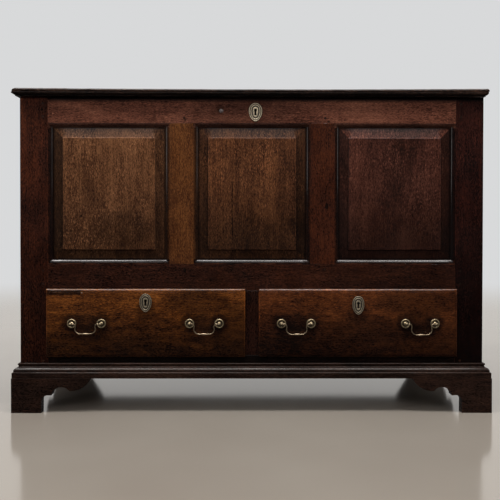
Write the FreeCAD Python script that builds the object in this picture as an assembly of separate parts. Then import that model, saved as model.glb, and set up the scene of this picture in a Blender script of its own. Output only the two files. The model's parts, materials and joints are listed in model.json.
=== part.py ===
import FreeCAD, Part
import math
import os

# A mule chest: a joined oak chest with a lifting lid over a tall compartment, and two drawers
# side by side below it, on a moulded base with bracket feet.
# Millimetres, +Z up. The front faces -Y. The origin is on the floor, under the middle of the
# overall box. A wall of the carcase is drawn in its own coordinates: u runs to the right as
# seen from outside, w runs into the chest from the outer face, v is the height.

# ---------------------------------------------------------------- carcase, across and deep
CARCASE_W = 1270.0
CARCASE_D = 530.0
STILE_W = 76.0
STILE_D = 50.0
REAR_STILE_W = 50.0
REAR_STILE_D = 70.0
MUNTIN_W = 66.0
MIDDLE_PANEL_W = 321.0
DIVIDER_W = 47.0
FRAME_T = 26.0
BACK_FRAME_T = 22.0
BACK_MUNTIN_W = 60.0

# ---------------------------------------------------------------- carcase, stacked heights
FOOT_H = 94.0
BOTTOM_RAIL_H = 60.0
DRAWER_OPENING_H = 178.0
MIDDLE_RAIL_H = 73.0
PANEL_OPENING_H = 386.0
TOP_RAIL_H = 71.0

# ---------------------------------------------------------------- stuck moulding and panels
OVOLO_W = 12.5
OVOLO_D = 9.5
QUIRK = 2.0
GROOVE_FACE = 10.0
GROOVE_T = 6.0
GROOVE_DEEP = 7.0
PANEL_PLAY = 1.0
BEVEL_W = 27.0
BEVEL_FACE = 6.5
FIELD_FACE = 4.0
BACK_GROOVE_FACE = 7.0
BACK_PANEL_T = 7.0

# ---------------------------------------------------------------- joints of the frame
TENON_T = 9.0
TENON_FACE = 8.5
TENON_L = 40.0
SIDE_TENON_L = 28.0
MUNTIN_TENON_L = 30.0
TENON_SHOULDER = 9.0
PEG_R = 3.4
PEG_PROUD = 0.3
PEG_L = 20.0
PEG_INSET = 14.0

# ---------------------------------------------------------------- floor, runners and till
FLOOR_T = 12.0
FLOOR_RISE = 16.0
FLOOR_GROOVE = 6.0
FLOOR_BOARDS = 6
FLOOR_BOARD_GAP = 0.6
RUNNER_H = 25.0
RUNNER_LAP = 12.0
RUNNER_OUT = 26.0
GUIDE_H = 28.0
TILL_W = 150.0
TILL_H = 110.0
TILL_DROP = 30.0
TILL_SIDE_T = 10.0
TILL_BOTTOM_T = 8.0

# ---------------------------------------------------------------- base moulding and feet
BASE_H = 39.0
FASCIA_OUT = 19.0
FASCIA_H = 14.5
FILLET_IN = 3.5
FILLET_LOW = 17.0
OVOLO_LOW = 19.5
OVOLO_TOP = 27.5
OVOLO_TOP_OUT = 7.3
NECK_OUT = 4.5
NECK_H = 33.5
BEAD_SWELL = 1.6
FOOT_OUT = 20.5
BRACKET_T = 28.0
BRACKET_L = 216.0
SIDE_BRACKET_L = 196.0
SOLE_W = 82.0
COVE_R = 18.0
STEP_Z = 48.4
STEP_W = 10.0
ARCH_W = 48.0
ARCH_TOP_Z = 70.4
ARCH_PEAK_SHARE = 0.55
CUSP_Z = 60.0
LOBE_SAG = 11.0
REAR_BRACKET_T = 22.0
REAR_BRACKET_L = 120.0
REAR_SOLE_W = 60.0
FOOT_BLOCK = 40.0
FOOT_BLOCK_LIFT = 2.0

# ---------------------------------------------------------------- lid
LID_T = 21.0
LID_GAP = 0.4
LID_SIDE_OUT = 14.5
LID_SHIFT = -4.0
LID_FRONT_OUT = 22.0
NOSING_H = 9.5
NOSING_LIP = 3.2
LID_COVE_IN = 9.0
LID_FOOT_H = 2.0
LID_BOARDS = 2
BATTEN_W = 40.0
BATTEN_T = 16.0
BATTEN_INSET = 14.0
BATTEN_END = 10.0

# ---------------------------------------------------------------- strap hinges of the lid
HINGE_X = 400.0
HINGE_LEAF_T = 3.0
HINGE_LEAF_W = 32.0
HINGE_STRAP_L = 210.0
HINGE_STRAP_TIP_W = 16.0
HINGE_DROP = 58.0
KNUCKLE_R = 5.0
KNUCKLE_GAP = 0.5
KNUCKLE_L = 36.0
KNUCKLE_PLAY = 0.4
KNUCKLE_NOTCH = 2.0
PIN_R = 2.2
PIN_FIT = 0.06

# ---------------------------------------------------------------- drawers
DRAWER_PLAY = 1.5
DRAWER_DROP_PLAY = 1.0
DRAWER_GAP = 0.4
LIP_T = 8.0
LIP_OUT = 5.0
THUMB_W = 8.5
THUMB_EDGE = 2.6
THUMB_STEP = 1.5
FRONT_T = 24.0
DRAWER_BACK_GAP = 38.0
SIDE_T = 12.0
DRAWER_BACK_T = 12.0
DRAWER_BACK_DROP = 14.0
BOTTOM_T = 8.0
BOTTOM_RISE = 9.0
BOTTOM_GROOVE = 5.0
BOTTOM_PLAY = 0.5
TAILS = 3
TAIL_L = 11.0
TAIL_FLARE = 3.0
TAIL_SHARE = 0.62

# ---------------------------------------------------------------- locks and escutcheons
LOCK_PLAY = 0.4
BOLT_THROW = 8.0
CHEST_LOCK_X = 9.0
CHEST_LOCK_W = 90.0
CHEST_LOCK_H = 58.0
CHEST_LOCK_T = 14.0
CHEST_KEY_DROP = 41.0
STAPLE_T = 4.0
STAPLE_D = 10.6
STAPLE_H = 24.0
STAPLE_PLATE_W = 56.0
STAPLE_PLATE_T = 2.0
STAPLE_EYE_DROP = 19.0
CHEST_BOLT_W = 5.4
CHEST_BOLT_H = 6.0
CHEST_BOLT_L = 28.0
DRAWER_LOCK_W = 62.0
DRAWER_LOCK_H = 52.0
DRAWER_LOCK_T = 12.0
DRAWER_BOLT_W = 16.0
DRAWER_BOLT_T = 4.4
DRAWER_BOLT_L = 16.0
LEFT_KEY_DROP = 31.5
RIGHT_KEY_DROP = 38.0
ESCUTCHEON_T = 1.6
ESCUTCHEON_W = 37.0
ESCUTCHEON_H = 51.0
DRAWER_ESCUTCHEON_W = 34.0
ESCUTCHEON_TOP_SHARE = 0.42
ESCUTCHEON_FLANK_OUT = 0.74
ESCUTCHEON_FLANK_DOWN = 0.6
KEY_TOP_R = 3.8
KEY_FOOT_R = 3.0
KEY_WAIST = 2.3
KEY_SPAN = 10.8
KEY_CUT = 4.0

# ---------------------------------------------------------------- swan-neck handles
HANDLE_Z = 242.5
LEFT_HANDLE_OFFSET = 161.0
RIGHT_HANDLE_OFFSET = 170.0
POST_SPACING = 81.0
ROSE_R = 13.2
ROSE_T = 3.4
ROSE_DISH = 1.8
ROSE_RIM = 3.6
POST_R = 3.0
BALL_R = 5.0
BALL_OUT = 18.0
NUT_R = 7.0
NUT_T = 4.0
BAIL_R = 2.0
BAIL_FIT = 0.08
BAIL_END_PLAY = 0.8
BAIL_HOLE_DEEP = 4.6
BAIL_DROP = 28.5
BAIL_HALF = 26.0
BAIL_NECK_R = 6.0
BAIL_HEEL_R = 10.0
GRIP_R = 3.3
GRIP_WAIST_R = 1.7
GRIP_WAIST_SHARE = 0.62

# ---------------------------------------------------------------- places worked out from the sizes
HALF_W = CARCASE_W / 2
BASE_TOP = FOOT_H + BASE_H
DRAWER_LOW = FOOT_H + BOTTOM_RAIL_H
DRAWER_HIGH = DRAWER_LOW + DRAWER_OPENING_H
PANEL_LOW = DRAWER_HIGH + MIDDLE_RAIL_H
PANEL_HIGH = PANEL_LOW + PANEL_OPENING_H
CARCASE_TOP = PANEL_HIGH + TOP_RAIL_H
LID_LOW = CARCASE_TOP + LID_GAP
FLOOR_LOW = DRAWER_HIGH + FLOOR_RISE
STILE_INNER = HALF_W - STILE_W
MUNTIN_INNER = MIDDLE_PANEL_W / 2
MUNTIN_OUTER = MUNTIN_INNER + MUNTIN_W
DRAWER_FACE_OUT = DRAWER_GAP + LIP_T
FRONT_REACH = max(DRAWER_FACE_OUT + BALL_OUT + BALL_R, LID_FRONT_OUT, FOOT_OUT)
BACK_REACH = KNUCKLE_GAP + 2 * KNUCKLE_R
Y_FRONT = (FRONT_REACH - BACK_REACH - CARCASE_D) / 2
Y_BACK = Y_FRONT + CARCASE_D
Y_MIDDLE = (Y_FRONT + Y_BACK) / 2
INNER_FRONT = Y_FRONT + FRAME_T
INNER_BACK = Y_BACK - BACK_FRAME_T
HINGE_Y = Y_BACK + KNUCKLE_GAP + KNUCKLE_R
OVER = 1.0
SLANT = math.sqrt(0.5)

V = FreeCAD.Vector
os.makedirs("parts", exist_ok=True)


# ================================================================ drawing helpers
def block(x0, x1, y0, y1, z0, z1):
    """A box between three pairs of limits, in any order."""
    low = V(min(x0, x1), min(y0, y1), min(z0, z1))
    return Part.makeBox(abs(x1 - x0), abs(y1 - y0), abs(z1 - z0), low)


def arc(a, m, b):
    return Part.Arc(V(*a), V(*m), V(*b)).toShape()


def line(a, b):
    return Part.LineSegment(V(*a), V(*b)).toShape()


def prism(edges, direction):
    """The solid swept by a closed loop of edges along a vector."""
    return Part.Face(Part.Wire(edges)).extrude(V(*direction))


def polygon_prism(points, direction):
    loop = Part.makePolygon([V(*p) for p in points] + [V(*points[0])])
    return Part.Face(loop).extrude(V(*direction))


def join(shapes):
    whole = shapes[0]
    for other in shapes[1:]:
        whole = whole.fuse(other)
    return whole.removeSplitter()


def carve(shape, cutters):
    for cutter in cutters:
        if shape.BoundBox.intersect(cutter.BoundBox):
            shape = shape.cut(cutter)
    return shape


def export(name, solids):
    """Write one node: a single solid, or several separate solids as a group."""
    pieces = []
    for shape in solids:
        pieces.extend(shape.Solids)
    whole = pieces[0] if len(pieces) == 1 else Part.makeCompound(pieces)
    whole.exportStep("parts/" + name + ".step")


def quarter_mid(a, b, bulge_a):
    """The middle of a quarter arc from a to b in a plane, bulging towards the corner
    that shares its first coordinate with b when bulge_a is true, or with a if not."""
    if bulge_a:
        return (a[0] + (b[0] - a[0]) * SLANT, a[1] + (b[1] - a[1]) * (1 - SLANT))
    return (a[0] + (b[0] - a[0]) * (1 - SLANT), a[1] + (b[1] - a[1]) * SLANT)


# ================================================================ walls
def place(shape, turn, x, y):
    """Turn a shape drawn in u, w, v about the vertical and set it at x, y."""
    spin = FreeCAD.Rotation(V(0, 0, 1), turn)
    moved = shape.copy()
    moved.Placement = FreeCAD.Placement(V(x, y, 0), spin).multiply(shape.Placement)
    return moved


def on_front(shape):
    return place(shape, 0, 0, Y_FRONT)


def on_back(shape):
    return place(shape, 180, 0, Y_BACK)


def on_side(shape, hand):
    return place(shape, 90 * hand, HALF_W * hand, Y_MIDDLE)


def ovolo_half(edge, towards, depth_end):
    """Edges of a stuck ovolo in (position, w), from outside the face to behind the frame."""
    top = (edge, -OVER)
    arris = (edge, QUIRK)
    sight = (edge + towards * OVOLO_W, OVOLO_D)
    deep = (edge + towards * OVOLO_W, depth_end)
    return [top, arris, quarter_mid(arris, sight, True), sight, deep]


def opening_profile(low, high, flat, depth_end):
    """Closed loop through both moulded edges of an opening; flat turns (p, w) into a point."""
    near = [flat(p) for p in ovolo_half(low, 1, depth_end)]
    far = [flat(p) for p in ovolo_half(high, -1, depth_end)]
    return [line(near[0], near[1]), arc(near[1], near[2], near[3]), line(near[3], near[4]),
            line(near[4], far[4]), line(far[4], far[3]), arc(far[3], far[2], far[1]),
            line(far[1], far[0]), line(far[0], near[0])]


def moulded_opening(u0, u1, v0, v1):
    """What is cut out of a frame for a panel: ovolo edges that meet in mitres."""
    end = FRAME_T + OVER
    across = prism(opening_profile(u0, u1, lambda p: (p[0], p[1], v0), end), (0, 0, v1 - v0))
    upright = prism(opening_profile(v0, v1, lambda p: (u0, p[1], p[0]), end), (u1 - u0, 0, 0))
    return across.common(upright)


def panel_groove(u0, u1, v0, v1, margin, face, thick):
    """The slot all round an opening that holds the panel's edge."""
    out = GROOVE_DEEP - margin
    return block(u0 - out, u1 + out, face, face + thick, v0 - out, v1 + out)


def fielded_panel(u0, u1, v0, v1):
    """A panel with a raised field, bevelled margins and an edge that stands in the groove."""
    s = OVOLO_W
    edge = GROOVE_DEEP - PANEL_PLAY
    slab = block(u0 + s - edge, u1 - s + edge, GROOVE_FACE, GROOVE_FACE + GROOVE_T,
                 v0 + s - edge, v1 - s + edge)
    f = s + BEVEL_W
    bevel = bevelled_slab(u0 + s, u1 - s, v0 + s, v1 - s)
    field = block(u0 + f, u1 - f, FIELD_FACE, BEVEL_FACE, v0 + f, v1 - f)
    return join([slab, bevel, field])


def bevelled_slab(u0, u1, v0, v1):
    """The bevelled part of a panel: wide at the groove, narrow at the field."""
    b = BEVEL_W
    low = [(u0, GROOVE_FACE, v0), (u1, GROOVE_FACE, v0), (u1, GROOVE_FACE, v1), (u0, GROOVE_FACE, v1)]
    top = [(u0 + b, BEVEL_FACE, v0 + b), (u1 - b, BEVEL_FACE, v0 + b),
           (u1 - b, BEVEL_FACE, v1 - b), (u0 + b, BEVEL_FACE, v1 - b)]
    loops = [Part.makePolygon([V(*p) for p in ring] + [V(*ring[0])]) for ring in (low, top)]
    return Part.makeLoft(loops, True, True)


def strip(opening, side):
    """The moulded margin on one side of an opening; the rails own the corners."""
    u0, u1, v0, v1 = opening
    s = OVOLO_W
    limits = {"bottom": (u0, u1, v0, v0 + s), "top": (u0, u1, v1 - s, v1),
              "left": (u0, u0 + s, v0 + s, v1 - s), "right": (u1 - s, u1, v0 + s, v1 - s)}
    a0, a1, b0, b1 = limits[side]
    margin = block(a0, a1, 0, FRAME_T, b0, b1)
    groove = panel_groove(u0 + s, u1 - s, v0 + s, v1 - s, 0, GROOVE_FACE, GROOVE_T)
    return carve(margin, [moulded_opening(u0, u1, v0, v1), groove])


def rail_tenon(u, towards, v0, v1, length):
    """A tenon on the end of a rail at u, running outwards."""
    return block(u, u + towards * length, TENON_FACE, TENON_FACE + TENON_T,
                 v0 + TENON_SHOULDER, v1 - TENON_SHOULDER)


def upright_tenon(u0, u1, v, towards):
    """A tenon on the end of a muntin or divider at height v."""
    return block(u0 + TENON_SHOULDER, u1 - TENON_SHOULDER, TENON_FACE, TENON_FACE + TENON_T,
                 v, v + towards * MUNTIN_TENON_L)


def peg(u, v):
    """A tapered oak pin is drawn as a plain one, a little proud of the face."""
    return Part.makeCylinder(PEG_R, PEG_PROUD + PEG_L, V(u, -PEG_PROUD, v), V(0, 1, 0))


# ================================================================ panel openings of each wall
FRONT_OPENINGS = {
    "left": (-STILE_INNER, -MUNTIN_OUTER, PANEL_LOW, PANEL_HIGH),
    "middle": (-MUNTIN_INNER, MUNTIN_INNER, PANEL_LOW, PANEL_HIGH),
    "right": (MUNTIN_OUTER, STILE_INNER, PANEL_LOW, PANEL_HIGH),
}


def side_span(hand):
    """The u limits between the front and rear stile on one side, as seen from outside."""
    front = -CARCASE_D / 2 + STILE_D
    rear = CARCASE_D / 2 - REAR_STILE_D
    return (front, rear) if hand > 0 else (-rear, -front)


def side_openings(hand):
    u0, u1 = side_span(hand)
    return {"upper": (u0, u1, PANEL_LOW, PANEL_HIGH), "lower": (u0, u1, DRAWER_LOW, DRAWER_HIGH)}


RAIL_LEVELS = {
    "bottom": (FOOT_H, DRAWER_LOW),
    "middle": (DRAWER_HIGH, PANEL_LOW),
    "top": (PANEL_HIGH, CARCASE_TOP),
}


# ================================================================ pegs
def peg_heights(level):
    """Two pegs hold each rail, and one the bottom rail, above the base moulding."""
    v0, v1 = RAIL_LEVELS[level]
    if level == "bottom":
        return ((BASE_TOP + v1 - TENON_SHOULDER) / 2,)
    quarter = (v1 - v0) / 4
    return (v0 + quarter, v1 - quarter)


def front_pegs():
    found = []
    for level in RAIL_LEVELS:
        for v in peg_heights(level):
            for hand in (-1, 1):
                found.append(on_front(peg(hand * (STILE_INNER + PEG_INSET), v)))
    for centre in (-(MUNTIN_INNER + MUNTIN_OUTER) / 2, (MUNTIN_INNER + MUNTIN_OUTER) / 2):
        for v in (PANEL_LOW - PEG_INSET, PANEL_HIGH + PEG_INSET):
            found.append(on_front(peg(centre + PEG_INSET / 2, v)))
    return found


def side_pegs(hand):
    found = []
    u0, u1 = side_span(hand)
    for level in RAIL_LEVELS:
        for v in peg_heights(level):
            for u in (u0 - PEG_INSET, u1 + PEG_INSET):
                found.append(on_side(peg(u, v), hand))
    return found


PEGS = front_pegs() + side_pegs(-1) + side_pegs(1)


# ================================================================ front frame
def front_rail(level, sides):
    """A front rail with its tenons and the moulded margins of the panels beside it."""
    v0, v1 = RAIL_LEVELS[level]
    parts = [block(-STILE_INNER, STILE_INNER, 0, FRAME_T, v0, v1)]
    for hand in (-1, 1):
        parts.append(rail_tenon(hand * STILE_INNER, hand, v0, v1, TENON_L))
    for side in sides:
        for opening in FRONT_OPENINGS.values():
            parts.append(strip(opening, side))
    return on_front(join(parts))


def front_stile_body(hand):
    """A front corner post, plain: moulded for the panel beside it and for the side panels."""
    front = block(hand * STILE_INNER, hand * HALF_W, 0, STILE_D, FOOT_H, CARCASE_TOP)
    parts = [on_front(front)]
    name = "right" if hand > 0 else "left"
    parts.append(on_front(strip(FRONT_OPENINGS[name], name)))
    for opening in side_openings(hand).values():
        parts.append(on_side(strip(opening, "left" if hand > 0 else "right"), hand))
    return join(parts)


def rear_stile_body(hand):
    post = block(HALF_W * hand, (HALF_W - REAR_STILE_W) * hand, Y_BACK - REAR_STILE_D, Y_BACK,
                 FOOT_H, CARCASE_TOP)
    parts = [post]
    for opening in side_openings(hand).values():
        parts.append(on_side(strip(opening, "right" if hand > 0 else "left"), hand))
    return join(parts)


def muntin(hand):
    """An upright between two front panels, tenoned into the middle and top rails."""
    u0 = hand * MUNTIN_INNER
    u1 = hand * MUNTIN_OUTER
    low, high = min(u0, u1), max(u0, u1)
    parts = [block(low, high, 0, FRAME_T, PANEL_LOW, PANEL_HIGH)]
    parts.append(upright_tenon(low, high, PANEL_LOW, -1))
    parts.append(upright_tenon(low, high, PANEL_HIGH, 1))
    outer = "right" if hand > 0 else "left"
    inner_side, outer_side = ("right", "left") if hand > 0 else ("left", "right")
    parts.append(strip(FRONT_OPENINGS["middle"], inner_side))
    parts.append(strip(FRONT_OPENINGS[outer], outer_side))
    return on_front(join(parts))


def divider():
    """The short upright between the two drawers."""
    half = DIVIDER_W / 2
    parts = [block(-half, half, 0, FRAME_T, DRAWER_LOW, DRAWER_HIGH)]
    parts.append(upright_tenon(-half, half, DRAWER_LOW, -1))
    parts.append(upright_tenon(-half, half, DRAWER_HIGH, 1))
    return on_front(join(parts))


# ================================================================ side and back frames
def side_rail(level, hand):
    v0, v1 = RAIL_LEVELS[level]
    u0, u1 = side_span(hand)
    parts = [block(u0, u1, 0, FRAME_T, v0, v1)]
    parts.append(rail_tenon(u0, -1, v0, v1, SIDE_TENON_L))
    parts.append(rail_tenon(u1, 1, v0, v1, SIDE_TENON_L))
    openings = side_openings(hand)
    edges = {"bottom": [("lower", "bottom")], "top": [("upper", "top")],
             "middle": [("lower", "top"), ("upper", "bottom")]}
    for name, side in edges[level]:
        parts.append(strip(openings[name], side))
    return on_side(join(parts), hand)


def back_openings():
    """Plain panels: three above, two below."""
    inner = HALF_W - REAR_STILE_W
    half = BACK_MUNTIN_W / 2
    third = 2 * inner / 3
    upper = [(-inner, -third / 2 - half), (-third / 2 + half, third / 2 - half), (third / 2 + half, inner)]
    lower = [(-inner, -half), (half, inner)]
    found = [(u0, u1, PANEL_LOW, PANEL_HIGH) for u0, u1 in upper]
    found.extend((u0, u1, DRAWER_LOW, DRAWER_HIGH) for u0, u1 in lower)
    return found


def back_tenon(u0, u1, v0, v1):
    return block(u0, u1, BACK_GROOVE_FACE, BACK_GROOVE_FACE + BACK_PANEL_T, v0, v1)


def back_frame_solids():
    """Rails and uprights of the back, grooved for its panels."""
    inner = HALF_W - REAR_STILE_W
    grooves = [panel_groove(u0, u1, v0, v1, 0, BACK_GROOVE_FACE, BACK_PANEL_T)
               for u0, u1, v0, v1 in back_openings()]
    uprights = []
    for u in (-inner / 3, inner / 3):
        uprights.append((u, PANEL_LOW, PANEL_HIGH))
    uprights.append((0, DRAWER_LOW, DRAWER_HIGH))
    half = BACK_MUNTIN_W / 2
    sockets = []
    posts = []
    for u, v0, v1 in uprights:
        tenon = back_tenon(u - half + TENON_SHOULDER, u + half - TENON_SHOULDER,
                           v0 - SIDE_TENON_L, v1 + SIDE_TENON_L)
        sockets.append(tenon)
        post = join([block(u - half, u + half, 0, BACK_FRAME_T, v0, v1), tenon])
        posts.append(carve(post, grooves))
    rails = []
    for v0, v1 in RAIL_LEVELS.values():
        rail = join([block(-inner, inner, 0, BACK_FRAME_T, v0, v1),
                     back_tenon(-inner - SIDE_TENON_L, inner + SIDE_TENON_L, v0 + TENON_SHOULDER,
                                v1 - TENON_SHOULDER)])
        rails.append(carve(rail, grooves + sockets))
    return [on_back(shape) for shape in rails + posts]


def back_panel_solids():
    return [on_back(panel_groove(u0, u1, v0, v1, PANEL_PLAY, BACK_GROOVE_FACE, BACK_PANEL_T))
            for u0, u1, v0, v1 in back_openings()]


def back_sockets():
    """What the back rails and panels take out of the rear stiles."""
    inner = HALF_W - REAR_STILE_W
    cuts = [back_tenon(-inner - SIDE_TENON_L, inner + SIDE_TENON_L, v0 + TENON_SHOULDER,
                       v1 - TENON_SHOULDER) for v0, v1 in RAIL_LEVELS.values()]
    cuts.extend(panel_groove(u0, u1, v0, v1, 0, BACK_GROOVE_FACE, BACK_PANEL_T)
                for u0, u1, v0, v1 in back_openings())
    return [on_back(shape) for shape in cuts]


# ================================================================ floor, runners, till
def post_boxes():
    """The space that the four corner posts take."""
    boxes = []
    for hand in (-1, 1):
        boxes.append(block(hand * STILE_INNER, hand * HALF_W, Y_FRONT, Y_FRONT + STILE_D,
                           0, CARCASE_TOP))
        boxes.append(block(hand * (HALF_W - REAR_STILE_W), hand * HALF_W, Y_BACK - REAR_STILE_D,
                           Y_BACK, 0, CARCASE_TOP))
    return boxes


def floor_slab():
    half = HALF_W - FRAME_T + FLOOR_GROOVE
    return block(-half, half, INNER_FRONT - FLOOR_GROOVE, INNER_BACK + FLOOR_GROOVE,
                 FLOOR_LOW, FLOOR_LOW + FLOOR_T)


def floor_boards():
    """Boards from front to back, housed in the middle rails and notched round the posts."""
    slab = carve(floor_slab(), post_boxes())
    box = slab.BoundBox
    pitch = box.XLength / FLOOR_BOARDS
    boards = []
    for i in range(FLOOR_BOARDS):
        x0 = box.XMin + i * pitch
        lane = block(x0, x0 + pitch - FLOOR_BOARD_GAP, box.YMin, box.YMax, box.ZMin, box.ZMax)
        boards.append(slab.common(lane))
    return boards


def runner_solids():
    """Runners that carry the drawers, and guides that keep them straight."""
    low = DRAWER_LOW - RUNNER_H
    half = DIVIDER_W / 2
    solids = [block(-half - RUNNER_LAP, half + RUNNER_LAP, INNER_FRONT, INNER_BACK, low, DRAWER_LOW)]
    solids.append(block(-half, half, INNER_FRONT, INNER_BACK, DRAWER_LOW, DRAWER_LOW + GUIDE_H))
    for hand in (-1, 1):
        inner = hand * (STILE_INNER - RUNNER_LAP)
        outer = hand * (STILE_INNER + RUNNER_OUT)
        runner = block(inner, outer, INNER_FRONT, INNER_BACK, low, DRAWER_LOW)
        solids.append(carve(runner, post_boxes()))
        solids.append(block(hand * STILE_INNER, outer, Y_FRONT + STILE_D, Y_BACK - REAR_STILE_D,
                            DRAWER_LOW, DRAWER_LOW + GUIDE_H))
    return solids


def till_solids():
    """A small open till for candles and papers at the left end: a side board and a bottom."""
    wall = -(HALF_W - FRAME_T)
    side = wall + TILL_W
    top = CARCASE_TOP - TILL_DROP
    low = top - TILL_H
    board = block(side, side + TILL_SIDE_T, INNER_FRONT, INNER_BACK, low, top)
    bottom = block(wall, side, INNER_FRONT, INNER_BACK, low, low + TILL_BOTTOM_T)
    return [board, carve(bottom, post_boxes())]


# ================================================================ base moulding
def base_profile(flat):
    """Fascia, fillet, ovolo, cove and bead from the foot up; flat turns (out, height) to a point."""
    fillet = FASCIA_OUT - FILLET_IN
    start = (fillet, OVOLO_LOW)
    end = (OVOLO_TOP_OUT, OVOLO_TOP)
    neck = (NECK_OUT, NECK_H)
    crown = (NECK_OUT, BASE_H)
    belly = (NECK_OUT + BEAD_SWELL, (NECK_H + BASE_H) / 2)
    corners = [(0, 0), (FASCIA_OUT, 0), (FASCIA_OUT, FASCIA_H), (fillet, FILLET_LOW), start]
    edges = [line(flat(a), flat(b)) for a, b in zip(corners, corners[1:])]
    edges.append(arc(flat(start), flat(quarter_mid(end, start, True)), flat(end)))
    edges.append(arc(flat(end), flat(quarter_mid(neck, end, False)), flat(neck)))
    edges.append(arc(flat(neck), flat(belly), flat(crown)))
    edges.append(line(flat(crown), flat((0, BASE_H))))
    edges.append(line(flat((0, BASE_H)), flat((0, 0))))
    return edges


def corner_wedge(x, y, dx, dy, along):
    """Half of the square outside or inside a corner, used to cut a mitre there."""
    far = (x + dx, y + dy)
    third = (x + dx, y) if along == "x" else (x, y + dy)
    ring = [(x, y, -OVER), (far[0], far[1], -OVER), (third[0], third[1], -OVER)]
    return polygon_prism(ring, (0, 0, CARCASE_TOP))


def base_front():
    reach = HALF_W + FASCIA_OUT
    edges = base_profile(lambda p: (-reach, Y_FRONT - p[0], FOOT_H + p[1]))
    bar = prism(edges, (2 * reach, 0, 0))
    out = 2 * FASCIA_OUT
    cuts = [corner_wedge(hand * HALF_W, Y_FRONT, hand * out, -out, "x") for hand in (-1, 1)]
    return carve(bar, cuts)


def base_side(hand):
    edges = base_profile(lambda p: (hand * (HALF_W + p[0]), Y_BACK, FOOT_H + p[1]))
    bar = prism(edges, (0, Y_FRONT - FASCIA_OUT - Y_BACK, 0))
    out = 2 * FASCIA_OUT
    return carve(bar, [corner_wedge(hand * HALF_W, Y_FRONT, hand * out, -out, "y")])


# ================================================================ bracket feet
def bracket_outline(length, flat):
    """Sole, cove, step, arch, cusp and lobe; flat turns (from the corner, height) to a point."""
    cove_low = (SOLE_W, STEP_Z - COVE_R)
    cove_high = (SOLE_W + COVE_R, STEP_Z)
    step = (SOLE_W + COVE_R + STEP_W, STEP_Z)
    cusp = (step[0] + ARCH_W, CUSP_Z)
    arch_top = (step[0] + ARCH_W * ARCH_PEAK_SHARE, ARCH_TOP_Z)
    lobe_end = (length, FOOT_H)
    lobe_mid = lobe_middle(cusp, lobe_end)
    corners = [(0, FOOT_H), (0, 0), (SOLE_W, 0), cove_low]
    edges = [line(flat(a), flat(b)) for a, b in zip(corners, corners[1:])]
    edges.append(arc(flat(cove_low), flat(quarter_mid(cove_low, cove_high, False)), flat(cove_high)))
    edges.append(line(flat(cove_high), flat(step)))
    edges.append(arc(flat(step), flat(arch_top), flat(cusp)))
    edges.append(arc(flat(cusp), flat(lobe_mid), flat(lobe_end)))
    edges.append(line(flat(lobe_end), flat((0, FOOT_H))))
    return edges


def lobe_middle(a, b):
    """A point half way along the lobe, LOBE_SAG below its chord."""
    run = b[0] - a[0]
    rise = b[1] - a[1]
    chord = math.hypot(run, rise)
    return ((a[0] + b[0]) / 2 + LOBE_SAG * rise / chord, (a[1] + b[1]) / 2 - LOBE_SAG * run / chord)


def front_foot(hand):
    """The front corner foot: front and side brackets mitred together, and a corner block."""
    x = hand * (HALF_W + FOOT_OUT)
    y = Y_FRONT - FOOT_OUT
    face = bracket_outline(BRACKET_L, lambda p: (x - hand * p[0], y, p[1]))
    front = prism(face, (0, BRACKET_T, 0))
    cheek = bracket_outline(SIDE_BRACKET_L, lambda p: (x, y + p[0], p[1]))
    side = prism(cheek, (-hand * BRACKET_T, 0, 0))
    deep = 2 * BRACKET_T
    front = carve(front, [corner_wedge(x, y, -hand * deep, deep, "y")])
    side = carve(side, [corner_wedge(x, y, -hand * deep, deep, "x")])
    inner = x - hand * BRACKET_T
    corner = block(inner, inner - hand * FOOT_BLOCK, y + BRACKET_T, y + BRACKET_T + FOOT_BLOCK,
                   FOOT_BLOCK_LIFT, FOOT_H)
    return [front, side, corner]


def rear_foot(hand):
    """The rear corner foot: a shaped side bracket, a plain sloped one behind, and a block."""
    x = hand * (HALF_W + FOOT_OUT)
    cheek = bracket_outline(SIDE_BRACKET_L, lambda p: (x, Y_BACK - p[0], p[1]))
    side = prism(cheek, (-hand * BRACKET_T, 0, 0))
    inner = x - hand * BRACKET_T
    ring = [(inner, 0), (inner - hand * REAR_SOLE_W, 0), (inner - hand * REAR_BRACKET_L, FOOT_H),
            (inner, FOOT_H)]
    back = polygon_prism([(u, Y_BACK - REAR_BRACKET_T, z) for u, z in ring], (0, REAR_BRACKET_T, 0))
    near = Y_BACK - REAR_BRACKET_T
    corner = block(inner, inner - hand * FOOT_BLOCK, near - FOOT_BLOCK, near, FOOT_BLOCK_LIFT, FOOT_H)
    return [side, back, corner]


# ================================================================ lid
def lid_edge(edge, towards):
    """Rounded nosing over a cove, in (position, height), from the top of the lid down."""
    top = LID_LOW + LID_T
    nose_low = top - NOSING_H
    inner = edge + towards * NOSING_LIP
    cove_end = edge + towards * LID_COVE_IN
    return {
        "crown": (inner, top),
        "nose_mid": (edge, (top + nose_low) / 2),
        "nose_low": (inner, nose_low),
        "cove_mid": quarter_mid((inner, nose_low), (cove_end, LID_LOW + LID_FOOT_H), False),
        "cove_low": (cove_end, LID_LOW + LID_FOOT_H),
        "foot": (cove_end, LID_LOW),
    }


def moulded_edge(points, flat):
    p = {name: flat(at) for name, at in points.items()}
    return [arc(p["crown"], p["nose_mid"], p["nose_low"]),
            arc(p["nose_low"], p["cove_mid"], p["cove_low"]),
            line(p["cove_low"], p["foot"])]


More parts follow.
